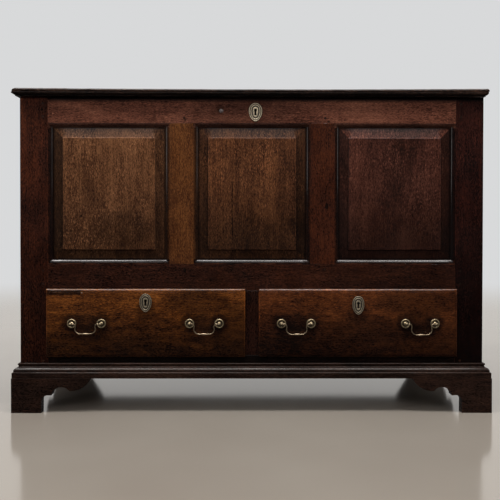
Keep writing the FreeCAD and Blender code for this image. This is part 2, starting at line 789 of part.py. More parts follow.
def lid_solid():
    """The whole lid: moulded at both ends and the front, square at the back."""
    left_end = LID_SHIFT - HALF_W - LID_SIDE_OUT
    right_end = LID_SHIFT + HALF_W + LID_SIDE_OUT
    front = Y_FRONT - LID_FRONT_OUT
    top = LID_LOW + LID_T
    left = lid_edge(left_end, 1)
    right = lid_edge(right_end, -1)

    def at_front(p):
        return (p[0], front, p[1])

    ends = moulded_edge(left, at_front)
    ends.append(line(at_front(left["foot"]), at_front(right["foot"])))
    ends.extend(moulded_edge(right, at_front))
    ends.append(line(at_front(right["crown"]), at_front(left["crown"])))
    across = prism(Part.__sortEdges__(ends), (0, Y_BACK - front, 0))
    near = lid_edge(front, 1)

    def at_left(p):
        return (left_end, p[0], p[1])

    depth = moulded_edge(near, at_left)
    depth.append(line(at_left(near["foot"]), at_left((Y_BACK, LID_LOW))))
    depth.append(line(at_left((Y_BACK, LID_LOW)), at_left((Y_BACK, top))))
    depth.append(line(at_left((Y_BACK, top)), at_left(near["crown"])))
    along = prism(Part.__sortEdges__(depth), (right_end - left_end, 0, 0))
    return across.common(along)


def lid_boards(cuts):
    """Boards glued edge to edge to make the width of the lid."""
    whole = carve(lid_solid(), cuts)
    box = whole.BoundBox
    front = box.YMin
    pitch = box.YLength / LID_BOARDS
    boards = []
    for i in range(LID_BOARDS):
        lane = block(box.XMin, box.XMax, front + i * pitch, front + (i + 1) * pitch, box.ZMin, box.ZMax)
        boards.append(whole.common(lane))
    return boards


def batten_solids():
    solids = []
    for hand in (-1, 1):
        outer = hand * (STILE_INNER - BATTEN_INSET)
        solids.append(block(outer, outer - hand * BATTEN_W, INNER_FRONT + BATTEN_END,
                            INNER_BACK - BATTEN_END, LID_LOW - BATTEN_T, LID_LOW))
    return solids


# ================================================================ lid hinges
def knuckle(x, length, bore):
    barrel = Part.makeCylinder(KNUCKLE_R, length, V(x, HINGE_Y, LID_LOW), V(1, 0, 0))
    hole = Part.makeCylinder(bore, length + 2 * OVER, V(x - OVER, HINGE_Y, LID_LOW), V(1, 0, 0))
    return barrel, hole


def hinge_strap(x):
    """The long tapered leaf let into the underside of the lid, with the middle knuckle."""
    third = KNUCKLE_L / 3
    low = LID_LOW
    half = HINGE_LEAF_W / 2
    tip = HINGE_STRAP_TIP_W / 2
    back = Y_BACK
    ring = [(x - half, back, low), (x - tip, back - HINGE_STRAP_L, low),
            (x + tip, back - HINGE_STRAP_L, low), (x + half, back, low)]
    strap = polygon_prism(ring, (0, 0, HINGE_LEAF_T))
    link_half = third / 2 - KNUCKLE_PLAY
    link = block(x - link_half, x + link_half, back - KNUCKLE_R, HINGE_Y, low, low + HINGE_LEAF_T)
    barrel, hole = knuckle(x - link_half, 2 * link_half, PIN_R + PIN_FIT)
    return join([strap, link, barrel]).cut(hole)


def hinge_plate(x):
    """The short leaf on the back of the top rail, with the two outer knuckles."""
    third = KNUCKLE_L / 3
    half = HINGE_LEAF_W / 2
    top = LID_LOW - KNUCKLE_R / 2
    plate = block(x - half, x + half, Y_BACK, Y_BACK + HINGE_LEAF_T, CARCASE_TOP - HINGE_DROP, top)
    parts = [plate]
    holes = []
    for start in (x - KNUCKLE_L / 2, x + third / 2):
        barrel, hole = knuckle(start, third, PIN_R)
        neck = block(start, start + third, Y_BACK, HINGE_Y, top - HINGE_LEAF_T, top)
        parts.extend([barrel, neck])
        holes.append(hole)
    plate = join(parts)
    gap = block(x - third / 2, x + third / 2, Y_BACK - OVER, HINGE_Y + KNUCKLE_R,
                LID_LOW - KNUCKLE_R - KNUCKLE_NOTCH, LID_LOW + KNUCKLE_R)
    pin = Part.makeCylinder(PIN_R, KNUCKLE_L, V(x - KNUCKLE_L / 2, HINGE_Y, LID_LOW), V(1, 0, 0))
    return [carve(plate, holes + [gap]), pin]


# ================================================================ locks
def keyhole(x, z, y0, y1):
    """Round head, waist and round foot, cut from y0 to y1."""
    top = Part.makeCylinder(KEY_TOP_R, y1 - y0, V(x, y0, z + KEY_SPAN / 2), V(0, 1, 0))
    foot = Part.makeCylinder(KEY_FOOT_R, y1 - y0, V(x, y0, z - KEY_SPAN / 2), V(0, 1, 0))
    waist = block(x - KEY_WAIST, x + KEY_WAIST, y0, y1, z - KEY_SPAN / 2, z + KEY_SPAN / 2)
    return join([top, foot, waist])


def escutcheon(x, z, face, width):
    """An oval plate, rounder above and drawn to a soft point below, pierced for the key."""
    half = width / 2
    up = ESCUTCHEON_H * ESCUTCHEON_TOP_SHARE
    down = ESCUTCHEON_H - up
    widest = z - ESCUTCHEON_H / 2 + down
    right = (x + half, face, widest)
    left = (x - half, face, widest)
    top = (x, face, widest + up)
    foot = (x, face, widest - down)
    edges = []
    for hand, wide in ((1, right), (-1, left)):
        upper = (x + hand * half * SLANT, face, widest + up * SLANT)
        lower = (x + hand * half * ESCUTCHEON_FLANK_OUT, face, widest - down * ESCUTCHEON_FLANK_DOWN)
        edges.append(arc(top, upper, wide))
        edges.append(arc(wide, lower, foot))
    plate = prism(Part.__sortEdges__(edges), (0, -ESCUTCHEON_T, 0))
    return plate.cut(keyhole(x, z, face - ESCUTCHEON_T - OVER, face + OVER))


CHEST_KEY_Z = CARCASE_TOP - CHEST_KEY_DROP
CHEST_LOCK_BACK = INNER_FRONT
CHEST_LOCK_Y = CHEST_LOCK_BACK - CHEST_LOCK_T / 2
EYE_Z = CARCASE_TOP - STAPLE_EYE_DROP
STAPLE_FOOT = LID_LOW - STAPLE_H
BOLT_START = CHEST_LOCK_X + STAPLE_T / 2 + LOCK_PLAY


def chest_bolt(grow, throw):
    """The sliding bolt, grown on all sides by a clearance and stretched by its throw."""
    return block(BOLT_START - throw - grow, BOLT_START + CHEST_BOLT_L + grow,
                 CHEST_LOCK_Y - CHEST_BOLT_W / 2 - grow, CHEST_LOCK_Y + CHEST_BOLT_W / 2 + grow,
                 EYE_Z - CHEST_BOLT_H / 2 - grow, EYE_Z + CHEST_BOLT_H / 2 + grow)


def staple_solid():
    """The lid's catch: a plate let into the lid, and an eye that drops into the lock."""
    plate = block(CHEST_LOCK_X - STAPLE_PLATE_W / 2, CHEST_LOCK_X + STAPLE_PLATE_W / 2,
                  CHEST_LOCK_Y - STAPLE_D / 2, CHEST_LOCK_Y + STAPLE_D / 2, LID_LOW,
                  LID_LOW + STAPLE_PLATE_T)
    eye = block(CHEST_LOCK_X - STAPLE_T / 2, CHEST_LOCK_X + STAPLE_T / 2,
                CHEST_LOCK_Y - STAPLE_D / 2, CHEST_LOCK_Y + STAPLE_D / 2, STAPLE_FOOT, LID_LOW)
    hole = block(CHEST_LOCK_X - STAPLE_T, CHEST_LOCK_X + STAPLE_T,
                 CHEST_LOCK_Y - CHEST_BOLT_W / 2 - LOCK_PLAY, CHEST_LOCK_Y + CHEST_BOLT_W / 2 + LOCK_PLAY,
                 EYE_Z - CHEST_BOLT_H / 2 - LOCK_PLAY, EYE_Z + CHEST_BOLT_H / 2 + LOCK_PLAY)
    return join([plate, eye]).cut(hole)


def chest_lock_recess():
    """The housing cut in the back of the top rail for the lock."""
    return block(CHEST_LOCK_X - CHEST_LOCK_W / 2, CHEST_LOCK_X + CHEST_LOCK_W / 2,
                 CHEST_LOCK_BACK - CHEST_LOCK_T, CHEST_LOCK_BACK, CARCASE_TOP - CHEST_LOCK_H, CARCASE_TOP)


def staple_way():
    """The mouth in the lock that the eye swings into; it is open towards the chest's inside,
    because the eye comes down on an arc."""
    swing = HINGE_Y - CHEST_LOCK_Y
    drift = math.hypot(swing + STAPLE_D / 2, STAPLE_H) - (swing + STAPLE_D / 2)
    half = STAPLE_T / 2 + LOCK_PLAY
    return block(CHEST_LOCK_X - half, CHEST_LOCK_X + half, CHEST_LOCK_Y - STAPLE_D / 2 - drift - LOCK_PLAY,
                 CHEST_LOCK_Y + STAPLE_D / 2 + LOCK_PLAY, STAPLE_FOOT - LOCK_PLAY, CARCASE_TOP + OVER)


def chest_lock_case():
    key = keyhole(CHEST_LOCK_X, CHEST_KEY_Z, CHEST_LOCK_BACK - CHEST_LOCK_T - OVER,
                  CHEST_LOCK_BACK - CHEST_LOCK_T + KEY_CUT)
    return carve(chest_lock_recess(), [staple_way(), chest_bolt(LOCK_PLAY, BOLT_THROW), key])


# ================================================================ drawers
def drawer_span(hand):
    """The x limits of a drawer opening."""
    inner = DIVIDER_W / 2
    return (inner, STILE_INNER) if hand > 0 else (-STILE_INNER, -inner)


def thumb_half(edge, towards):
    """Edges of the lip in (position, y): back corner, thin edge, thumbnail, step, face."""
    back = Y_FRONT - DRAWER_GAP
    face = back - LIP_T
    shoulder = (edge, back - THUMB_EDGE)
    end = (edge + towards * THUMB_W, face + THUMB_STEP)
    return [(edge, back), shoulder, quarter_mid(shoulder, end, False), end,
            (edge + towards * THUMB_W, face)]


def lip_profile(low, high, flat):
    near = [flat(p) for p in thumb_half(low, 1)]
    far = [flat(p) for p in thumb_half(high, -1)]
    return [line(near[0], near[1]), arc(near[1], near[2], near[3]), line(near[3], near[4]),
            line(near[4], far[4]), line(far[4], far[3]), arc(far[3], far[2], far[1]),
            line(far[1], far[0]), line(far[0], near[0])]


def lip_solid(hand):
    """The thumb-moulded face of a drawer, lapping over the frame all round."""
    x0, x1 = drawer_span(hand)
    x0, x1 = x0 - LIP_OUT, x1 + LIP_OUT
    z0, z1 = DRAWER_LOW - LIP_OUT, DRAWER_HIGH + LIP_OUT
    across = prism(lip_profile(x0, x1, lambda p: (p[0], p[1], z0)), (0, 0, z1 - z0))
    upright = prism(lip_profile(z0, z1, lambda p: (x0, p[1], p[0])), (x1 - x0, 0, 0))
    return across.common(upright)


def drawer_box(hand):
    """Outside limits of the drawer's box, without its lip."""
    x0, x1 = drawer_span(hand)
    return FreeCAD.BoundBox(x0 + DRAWER_PLAY, Y_FRONT - DRAWER_GAP, DRAWER_LOW + DRAWER_DROP_PLAY,
                            x1 - DRAWER_PLAY, INNER_BACK - DRAWER_BACK_GAP, DRAWER_HIGH - DRAWER_PLAY)


FRONT_INNER_Y = Y_FRONT - DRAWER_GAP - LIP_T + FRONT_T


def tail_solids(hand, outer_x, inward):
    """Lapped dovetails: tails on the side board's front end, flared towards the front."""
    box = drawer_box(hand)
    pitch = box.ZLength / TAILS
    root = pitch * TAIL_SHARE / 2
    tip = root + TAIL_FLARE
    tails = []
    for i in range(TAILS):
        middle = box.ZMin + (i + 0.5) * pitch
        ring = [(outer_x, FRONT_INNER_Y, middle - root), (outer_x, FRONT_INNER_Y - TAIL_L, middle - tip),
                (outer_x, FRONT_INNER_Y - TAIL_L, middle + tip), (outer_x, FRONT_INNER_Y, middle + root)]
        tails.append(polygon_prism(ring, (inward * SIDE_T, 0, 0)))
    return tails


def bottom_slabs(hand, reach):
    """The bottom's board and its tongue in the front, let into the wood round them by a reach."""
    box = drawer_box(hand)
    low = box.ZMin + BOTTOM_RISE
    inner0, inner1 = box.XMin + SIDE_T, box.XMax - SIDE_T
    board = block(inner0 - reach, inner1 + reach, FRONT_INNER_Y, box.YMax, low, low + BOTTOM_T)
    tongue = block(inner0, inner1, FRONT_INNER_Y - reach, FRONT_INNER_Y, low, low + BOTTOM_T)
    return [board, tongue]


def drawer_bottom(hand):
    return join(bottom_slabs(hand, BOTTOM_GROOVE - BOTTOM_PLAY))


def drawer_sides(hand):
    box = drawer_box(hand)
    groove = bottom_slabs(hand, BOTTOM_GROOVE)[0]
    solids = []
    for outer, inward in ((box.XMin, 1), (box.XMax, -1)):
        board = block(outer, outer + inward * SIDE_T, FRONT_INNER_Y, box.YMax, box.ZMin, box.ZMax)
        board = join([board] + tail_solids(hand, outer, inward))
        solids.append(board.cut(groove))
    return solids


def drawer_back(hand):
    box = drawer_box(hand)
    return block(box.XMin + SIDE_T, box.XMax - SIDE_T, box.YMax - DRAWER_BACK_T, box.YMax,
                 box.ZMin + BOTTOM_RISE + BOTTOM_T, box.ZMax - DRAWER_BACK_DROP)


def key_place(hand):
    """x and z of a drawer's keyhole."""
    x0, x1 = drawer_span(hand)
    drop = RIGHT_KEY_DROP if hand > 0 else LEFT_KEY_DROP
    return (x0 + x1) / 2, drawer_box(hand).ZMax - drop


def drawer_lock_recess(hand):
    """The housing in the back of the drawer front, open at its top edge."""
    x = key_place(hand)[0]
    top = drawer_box(hand).ZMax
    return block(x - DRAWER_LOCK_W / 2, x + DRAWER_LOCK_W / 2, FRONT_INNER_Y - DRAWER_LOCK_T,
                 FRONT_INNER_Y, top - DRAWER_LOCK_H, top)


def drawer_bolt(hand, grow, lift):
    """The lock's bolt, drawn back below the drawer's top edge, grown and stretched as asked."""
    x = key_place(hand)[0]
    y = FRONT_INNER_Y - DRAWER_LOCK_T / 2
    top = drawer_box(hand).ZMax - LOCK_PLAY
    return block(x - DRAWER_BOLT_W / 2 - grow, x + DRAWER_BOLT_W / 2 + grow, y - DRAWER_BOLT_T / 2 - grow,
                 y + DRAWER_BOLT_T / 2 + grow, top - DRAWER_BOLT_L - grow, top + lift + grow)


def drawer_lock_case(hand):
    x, z = key_place(hand)
    key = keyhole(x, z, FRONT_INNER_Y - DRAWER_LOCK_T - OVER, FRONT_INNER_Y - DRAWER_LOCK_T + KEY_CUT)
    return carve(drawer_lock_recess(hand), [drawer_bolt(hand, LOCK_PLAY, BOLT_THROW), key])


def drawer_front(hand):
    """The lipped front, cut for its side boards, bottom, lock, key and handle posts."""
    box = drawer_box(hand)
    body = block(box.XMin, box.XMax, box.YMin, FRONT_INNER_Y, box.ZMin, box.ZMax)
    front = join([lip_solid(hand), body])
    cuts = tail_solids(hand, box.XMin, 1) + tail_solids(hand, box.XMax, -1)
    cuts.append(bottom_slabs(hand, BOTTOM_GROOVE)[1])
    cuts.append(drawer_lock_recess(hand))
    x, z = key_place(hand)
    cuts.append(keyhole(x, z, Y_FRONT - DRAWER_FACE_OUT - OVER, FRONT_INNER_Y - DRAWER_LOCK_T + OVER))
    for post_x in post_places(hand):
        cuts.append(Part.makeCylinder(POST_R, FRONT_T + 2 * OVER,
                                      V(post_x, Y_FRONT - DRAWER_FACE_OUT - OVER, HANDLE_Z), V(0, 1, 0)))
    return carve(front, cuts)


# ================================================================ handles
def handle_centres(hand):
    x0, x1 = drawer_span(hand)
    offset = RIGHT_HANDLE_OFFSET if hand > 0 else LEFT_HANDLE_OFFSET
    return ((x0 + x1) / 2 - offset, (x0 + x1) / 2 + offset)


def post_places(hand):
    half = POST_SPACING / 2
    return [centre + side * half for centre in handle_centres(hand) for side in (-1, 1)]


BALL_Y = Y_FRONT - DRAWER_FACE_OUT - BALL_OUT


def rose_solid(x):
    """A dished washer with a raised rim, behind each post."""
    face = Y_FRONT - DRAWER_FACE_OUT
    rim = ROSE_R - ROSE_RIM
    crown = (x + ROSE_R - ROSE_RIM / 2, face - ROSE_T, HANDLE_Z)
    edges = [line((x + POST_R, face, HANDLE_Z), (x + ROSE_R, face, HANDLE_Z)),
             arc((x + ROSE_R, face, HANDLE_Z), crown, (x + rim, face - ROSE_DISH, HANDLE_Z)),
             line((x + rim, face - ROSE_DISH, HANDLE_Z), (x + POST_R, face - ROSE_DISH, HANDLE_Z)),
             line((x + POST_R, face - ROSE_DISH, HANDLE_Z), (x + POST_R, face, HANDLE_Z))]
    half = Part.Face(Part.Wire(edges))
    return half.revolve(V(x, face, HANDLE_Z), V(0, 1, 0), 360)


def post_solids(x, towards):
    """A bolt through the drawer front with a ball head, bored for the bail's end, and a nut."""
    inner = FRONT_INNER_Y
    shank = Part.makeCylinder(POST_R, inner + NUT_T - BALL_Y, V(x, BALL_Y, HANDLE_Z), V(0, 1, 0))
    ball = Part.makeSphere(BALL_R, V(x, BALL_Y, HANDLE_Z))
    start = x + towards * (BALL_R + OVER)
    hole = Part.makeCylinder(BAIL_R + BAIL_FIT, BAIL_HOLE_DEEP + OVER, V(start, BALL_Y, HANDLE_Z),
                             V(-towards, 0, 0))
    nut = Part.makeCylinder(NUT_R, NUT_T, V(x, inner, HANDLE_Z), V(0, 1, 0))
    return [join([shank, ball]).cut(hole), nut.cut(shank)]


def handle_mounts(hand):
    """Roses, posts and nuts of the two handles of one drawer."""
    solids = []
    for centre in handle_centres(hand):
        for side in (-1, 1):
            x = centre + side * POST_SPACING / 2
            solids.append(rose_solid(x))
            solids.extend(post_solids(x, -side))
    return solids


def bail_side(centre, side):
    """Half of the bail: the pin, the neck, the limb and the heel, as one bent rod."""
    end = POST_SPACING / 2 - BALL_R + BAIL_HOLE_DEEP - BAIL_END_PLAY

    def at(u, drop):
        return (centre + side * u, BALL_Y, HANDLE_Z - drop)

    neck = BAIL_HALF + BAIL_NECK_R
    heel = BAIL_DROP - BAIL_HEEL_R
    neck_mid = at(neck - BAIL_NECK_R * SLANT, BAIL_NECK_R * (1 - SLANT))
    heel_mid = at(BAIL_HALF - BAIL_HEEL_R * (1 - SLANT), heel + BAIL_HEEL_R * SLANT)
    path = Part.Wire([line(at(end, 0), at(neck, 0)),
                      arc(at(neck, 0), neck_mid, at(BAIL_HALF, BAIL_NECK_R)),
                      line(at(BAIL_HALF, BAIL_NECK_R), at(BAIL_HALF, heel)),
                      arc(at(BAIL_HALF, heel), heel_mid, at(BAIL_HALF - BAIL_HEEL_R, BAIL_DROP))])
    ring = Part.Wire(Part.makeCircle(BAIL_R, V(*at(end, 0)), V(side, 0, 0)))
    return path.makePipeShell([ring], True, False)


def bail(centre):
    """A swan-neck bail with a grip that swells in the middle."""
    half = BAIL_HALF - BAIL_HEEL_R
    z = HANDLE_Z - BAIL_DROP
    waist = half * GRIP_WAIST_SHARE
    profile = [line((centre - half, BALL_Y, z), (centre - half, BALL_Y, z + BAIL_R)),
               line((centre - half, BALL_Y, z + BAIL_R), (centre - waist, BALL_Y, z + GRIP_WAIST_R)),
               arc((centre - waist, BALL_Y, z + GRIP_WAIST_R), (centre, BALL_Y, z + GRIP_R),
                   (centre + waist, BALL_Y, z + GRIP_WAIST_R)),
               line((centre + waist, BALL_Y, z + GRIP_WAIST_R), (centre + half, BALL_Y, z + BAIL_R)),
               line((centre + half, BALL_Y, z + BAIL_R), (centre + half, BALL_Y, z)),
               line((centre + half, BALL_Y, z), (centre - half, BALL_Y, z))]
    grip = Part.Face(Part.Wire(profile)).revolve(V(centre, BALL_Y, z), V(1, 0, 0), 360)
    return join([grip, bail_side(centre, -1), bail_side(centre, 1)])


# ================================================================ the nodes
def export_front_frame():
    """Posts, rails, muntins, divider and panels of the front, each cut for what it holds."""
    rails = {level: front_rail(level, sides)
             for level, sides in (("bottom", []), ("middle", ["bottom"]), ("top", ["top"]))}
    uprights = {"muntin_left": muntin(-1), "muntin_right": muntin(1), "drawer_divider": divider()}
    chest_key = keyhole(CHEST_LOCK_X, CHEST_KEY_Z, Y_FRONT - OVER, CHEST_LOCK_BACK - CHEST_LOCK_T + OVER)
    bolt_holes = [drawer_bolt(hand, LOCK_PLAY, BOLT_THROW) for hand in (-1, 1)]
    cuts = {"bottom": [], "middle": [floor_slab()] + bolt_holes, "top": [chest_lock_recess(), chest_key]}
    for level, rail in rails.items():
        shape = carve(rail, list(uprights.values()) + cuts[level] + PEGS)
        export("front_" + level + "_rail", [shape])
    for name, shape in uprights.items():
        export(name, [carve(shape, PEGS)])
    for name, opening in FRONT_OPENINGS.items():
        export("front_panel_" + name, [on_front(fielded_panel(*opening))])


def export_posts_and_sides():
    sockets = [on_front(rail_tenon(hand * STILE_INNER, hand, v0, v1, TENON_L))
               for hand in (-1, 1) for v0, v1 in RAIL_LEVELS.values()]
    for hand, word in ((-1, "left"), (1, "right")):
        rails = [side_rail(level, hand) for level in ("bottom", "middle", "top")]
        posts = {"front_stile_" + word: carve(front_stile_body(hand), sockets + rails + PEGS),
                 "rear_stile_" + word: carve(rear_stile_body(hand), back_sockets() + rails + PEGS)}
        for name, shape in posts.items():
            export(name, [shape])
        export("side_rails_" + word, [carve(rail, [floor_slab()] + PEGS) for rail in rails])
        for name, opening in side_openings(hand).items():
            export("side_panel_" + name + "_" + word, [on_side(fielded_panel(*opening), hand)])


def export_back_and_inside():
    export("back_frame", [carve(shape, [floor_slab()]) for shape in back_frame_solids()])
    export("back_panels", back_panel_solids())
    export("joint_pegs", PEGS)
    export("chest_floor", floor_boards())
    export("drawer_runners", runner_solids())
    export("till", till_solids())


def export_base():
    export("base_moulding_front", [base_front()])
    for hand, word in ((-1, "left"), (1, "right")):
        export("base_moulding_" + word, [base_side(hand)])
        export("bracket_foot_front_" + word, front_foot(hand))
        export("bracket_foot_rear_" + word, rear_foot(hand))


def export_lid():
    straps = [hinge_strap(hand * HINGE_X) for hand in (-1, 1)]
    plates = []
    for hand in (-1, 1):
        plates.extend(hinge_plate(hand * HINGE_X))
    staple = staple_solid()
    export("lid_boards", lid_boards(straps + [staple]))
    export("lid_battens", batten_solids())
    export("lid_hinge_straps", straps)
    export("carcase_hinge_plates", plates)
    export("lid_lock_staple", [staple])
    export("chest_lock_case", [chest_lock_case()])
    export("chest_lock_bolt", [chest_bolt(0, 0)])
    export("chest_escutcheon", [escutcheon(CHEST_LOCK_X, CHEST_KEY_Z, Y_FRONT, ESCUTCHEON_W)])


def export_drawer(hand, word):
    export("drawer_front_" + word, [drawer_front(hand)])
    export("drawer_sides_" + word, drawer_sides(hand))
    export("drawer_back_" + word, [drawer_back(hand)])
    export("drawer_bottom_" + word, [drawer_bottom(hand)])
    export("drawer_lock_case_" + word, [drawer_lock_case(hand)])
    export("drawer_lock_bolt_" + word, [drawer_bolt(hand, 0, 0)])
    x, z = key_place(hand)
    plate = escutcheon(x, z, Y_FRONT - DRAWER_FACE_OUT, DRAWER_ESCUTCHEON_W)
    export("drawer_escutcheon_" + word, [plate])
    export("handle_mounts_" + word, handle_mounts(hand))
    for place_word, centre in zip(("a", "b"), handle_centres(hand)):
        export("handle_bail_" + word + "_" + place_word, [bail(centre)])


export_front_frame()
export_posts_and_sides()
export_back_and_inside()
export_base()
export_lid()
export_drawer(-1, "left")
export_drawer(1, "right")
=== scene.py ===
import json
import math

import bmesh
import bpy
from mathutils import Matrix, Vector, noise

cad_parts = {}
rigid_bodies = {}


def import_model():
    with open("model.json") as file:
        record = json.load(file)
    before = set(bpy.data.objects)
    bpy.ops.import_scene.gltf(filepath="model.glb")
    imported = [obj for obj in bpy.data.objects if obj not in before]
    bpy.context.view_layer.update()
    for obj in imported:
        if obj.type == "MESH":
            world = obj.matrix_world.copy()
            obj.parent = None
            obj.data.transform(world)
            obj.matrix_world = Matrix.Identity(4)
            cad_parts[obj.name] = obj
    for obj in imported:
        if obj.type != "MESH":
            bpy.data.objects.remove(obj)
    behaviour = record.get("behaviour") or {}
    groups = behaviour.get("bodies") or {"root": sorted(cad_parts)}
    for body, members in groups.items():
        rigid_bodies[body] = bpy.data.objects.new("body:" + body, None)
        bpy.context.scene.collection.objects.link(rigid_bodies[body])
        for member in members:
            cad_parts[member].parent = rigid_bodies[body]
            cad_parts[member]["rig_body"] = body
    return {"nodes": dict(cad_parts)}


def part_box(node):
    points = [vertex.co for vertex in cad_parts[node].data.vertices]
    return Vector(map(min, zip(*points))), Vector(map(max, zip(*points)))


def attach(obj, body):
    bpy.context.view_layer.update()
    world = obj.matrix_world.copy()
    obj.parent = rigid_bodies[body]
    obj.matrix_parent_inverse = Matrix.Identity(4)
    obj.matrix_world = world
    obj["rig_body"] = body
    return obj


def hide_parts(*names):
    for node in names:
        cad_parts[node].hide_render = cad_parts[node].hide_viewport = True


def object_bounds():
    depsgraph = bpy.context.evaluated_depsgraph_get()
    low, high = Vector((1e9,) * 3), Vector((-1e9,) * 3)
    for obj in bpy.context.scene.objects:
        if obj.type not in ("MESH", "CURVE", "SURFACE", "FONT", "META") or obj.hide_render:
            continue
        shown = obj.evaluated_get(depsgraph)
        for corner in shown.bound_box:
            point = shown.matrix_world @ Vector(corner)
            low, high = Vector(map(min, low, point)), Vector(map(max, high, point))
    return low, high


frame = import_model()
cad_low, cad_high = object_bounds()

# An old oak mule chest. Metres, apart from the brass profiles, which are in millimetres and are
# scaled by MM. The front faces -Y, and every CAD node sits at the origin. Colours of wood and metal
# are sRGB in 0-255; those written in 0-1 are linear.

# ------------------------------------------------------------------ places on the chest
MM = 0.001
FACE_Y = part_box("front_top_rail")[0].y
DRAWER_FACE_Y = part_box("drawer_front_left")[0].y
DRAWER_BACK_OF_FRONT = DRAWER_FACE_Y + 0.024
BALL_Y = -0.28095                   # the bails hang in this plane
BAIL_FACE_Y = -0.2785               # a bail is rubbed clean in front of it
HANDLE_Z = 0.2425
POST_HALF = 0.0405                  # from a handle's middle to each of its posts
HANDLES = {"left": {"a": -0.45225, "b": -0.13025}, "right": {"a": 0.12125, "b": 0.46125}}
KEYHOLES = {"chest": (0.009, 0.821), "left": (-0.29125, 0.299), "right": (0.29125, 0.2925)}
PANELS = {"left": (-0.559, -0.2265), "middle": (-0.1605, 0.1605), "right": (0.2265, 0.559)}
PANEL_LOW, PANEL_HIGH = 0.405, 0.791
MARGIN = 0.0395                     # how wide a fielded panel's bevel is
SIDE_X = (0.630, 0.634)             # the frame's outer sides lie past these
INNER_POST_X = 0.606                # the rear stiles' bare faces lie within it
BOX_X = 0.632                       # the lid's underside is bare within it
TOP_RIM_Z = (0.8600, 0.8612)        # the frame's level top rim lies above these
BOARD_PITCH = 0.176                 # the lid's boards
FLOOR_BOARDS = ("x", -0.615, 0.205)


# ------------------------------------------------------------------ node helpers
def srgb(r, g, b):
    """A colour written in 0-255 sRGB, as linear RGBA."""
    def lin(c):
        c /= 255
        return c / 12.92 if c <= 0.04045 else ((c + 0.055) / 1.055) ** 2.4
    return (lin(r), lin(g), lin(b), 1.0)


def scale(colour, share):
    return tuple(c * share for c in colour[:3]) + (1.0,)


class Graph:
    """Short calls for building a node tree."""

    def __init__(self, tree):
        self.tree = tree

    def add(self, kind, **settings):
        node = self.tree.nodes.new(kind)
        for key, value in settings.items():
            setattr(node, key, value)
        return node

    def feed(self, socket, value):
        if isinstance(value, bpy.types.NodeSocket):
            self.tree.links.new(value, socket)
        else:
            socket.default_value = value

    def math(self, operation, *values):
        node = self.add("ShaderNodeMath", operation=operation)
        for socket, value in zip(node.inputs, values):
            self.feed(socket, value)
        return node.outputs[0]

    def plus(self, a, b):
        return self.math("ADD", a, b)

    def minus(self, a, b):
        return self.math("SUBTRACT", a, b)

    def times(self, a, b):
        return self.math("MULTIPLY", a, b)

    def times_plus(self, a, b, c):
        return self.math("MULTIPLY_ADD", a, b, c)

    def absolute(self, a):
        return self.math("ABSOLUTE", a)

    def largest(self, a, b):
        return self.math("MAXIMUM", a, b)

    def smallest(self, a, b):
        return self.math("MINIMUM", a, b)

    def vector(self, operation, a, b):
        node = self.add("ShaderNodeVectorMath", operation=operation)
        self.feed(node.inputs[0], a)
        self.feed(node.inputs[1], b)
        return node.outputs[0]

    def split(self, vector):
        node = self.add("ShaderNodeSeparateXYZ")
        self.feed(node.inputs[0], vector)
        return node.outputs

    def combine(self, x, y, z):
        node = self.add("ShaderNodeCombineXYZ")
        for socket, value in zip(node.inputs, (x, y, z)):
            self.feed(socket, value)
        return node.outputs[0]

    def noise(self, vector, stretch, detail=2.0, rough=0.55, warp=0.0):
        """Noise in 0-1, at so many cells a metre along each axis."""
        node = self.add("ShaderNodeTexNoise")
        self.feed(node.inputs["Vector"], self.vector("MULTIPLY", vector, stretch))
        for name, value in (("Scale", 1.0), ("Detail", detail), ("Roughness", rough),
                            ("Distortion", warp)):
            node.inputs[name].default_value = value
        return node.outputs[0]

    def waver(self, place, pitch, reach):
        """Noise about zero, in -reach/2 to reach/2."""
        return self.times(self.minus(self.noise(place, (pitch, pitch, pitch), 3), 0.5), reach)

    def span(self, value, low, high, out_low=0.0, out_high=1.0):
        """Map low..high to out_low..out_high smoothly, held at both ends."""
        node = self.add("ShaderNodeMapRange", interpolation_type="SMOOTHSTEP")
        for socket, v in zip(node.inputs, (value, low, high, out_low, out_high)):
            self.feed(socket, v)
        return node.outputs[0]

    def ramp(self, value, stops):
        node = self.add("ShaderNodeValToRGB")
        self.feed(node.inputs[0], value)
        band = node.color_ramp
        while len(band.elements) < len(stops):
            band.elements.new(0.5)
        for element, (place, colour) in zip(band.elements, stops):
            element.position = place
            element.color = colour
        return node.outputs[0]

    def mix(self, amount, a, b, blend="MIX"):
        node = self.add("ShaderNodeMix", data_type="RGBA", blend_type=blend, clamp_factor=True)
        self.feed(node.inputs[0], amount)
        self.feed(node.inputs[6], a)
        self.feed(node.inputs[7], b)
        return node.outputs[2]

    def darken(self, colour, shade):
        return self.mix(1.0, colour, self.combine(shade, shade, shade), "MULTIPLY")

    def bump(self, height, distance):
        node = self.add("ShaderNodeBump")
        node.inputs["Strength"].default_value = 1.0
        node.inputs["Distance"].default_value = distance
        self.feed(node.inputs["Height"], height)
        return node.outputs[0]


def new_material(name):
    """A material, its graph, its shader and the place on the object."""
    material = bpy.data.materials.new(name)
    material.use_nodes = True
    graph = Graph(material.node_tree)
    shader = next(n for n in material.node_tree.nodes if n.type == "BSDF_PRINCIPLED")
    place = graph.add("ShaderNodeTexCoord").outputs["Object"]
    return material, graph, shader, place


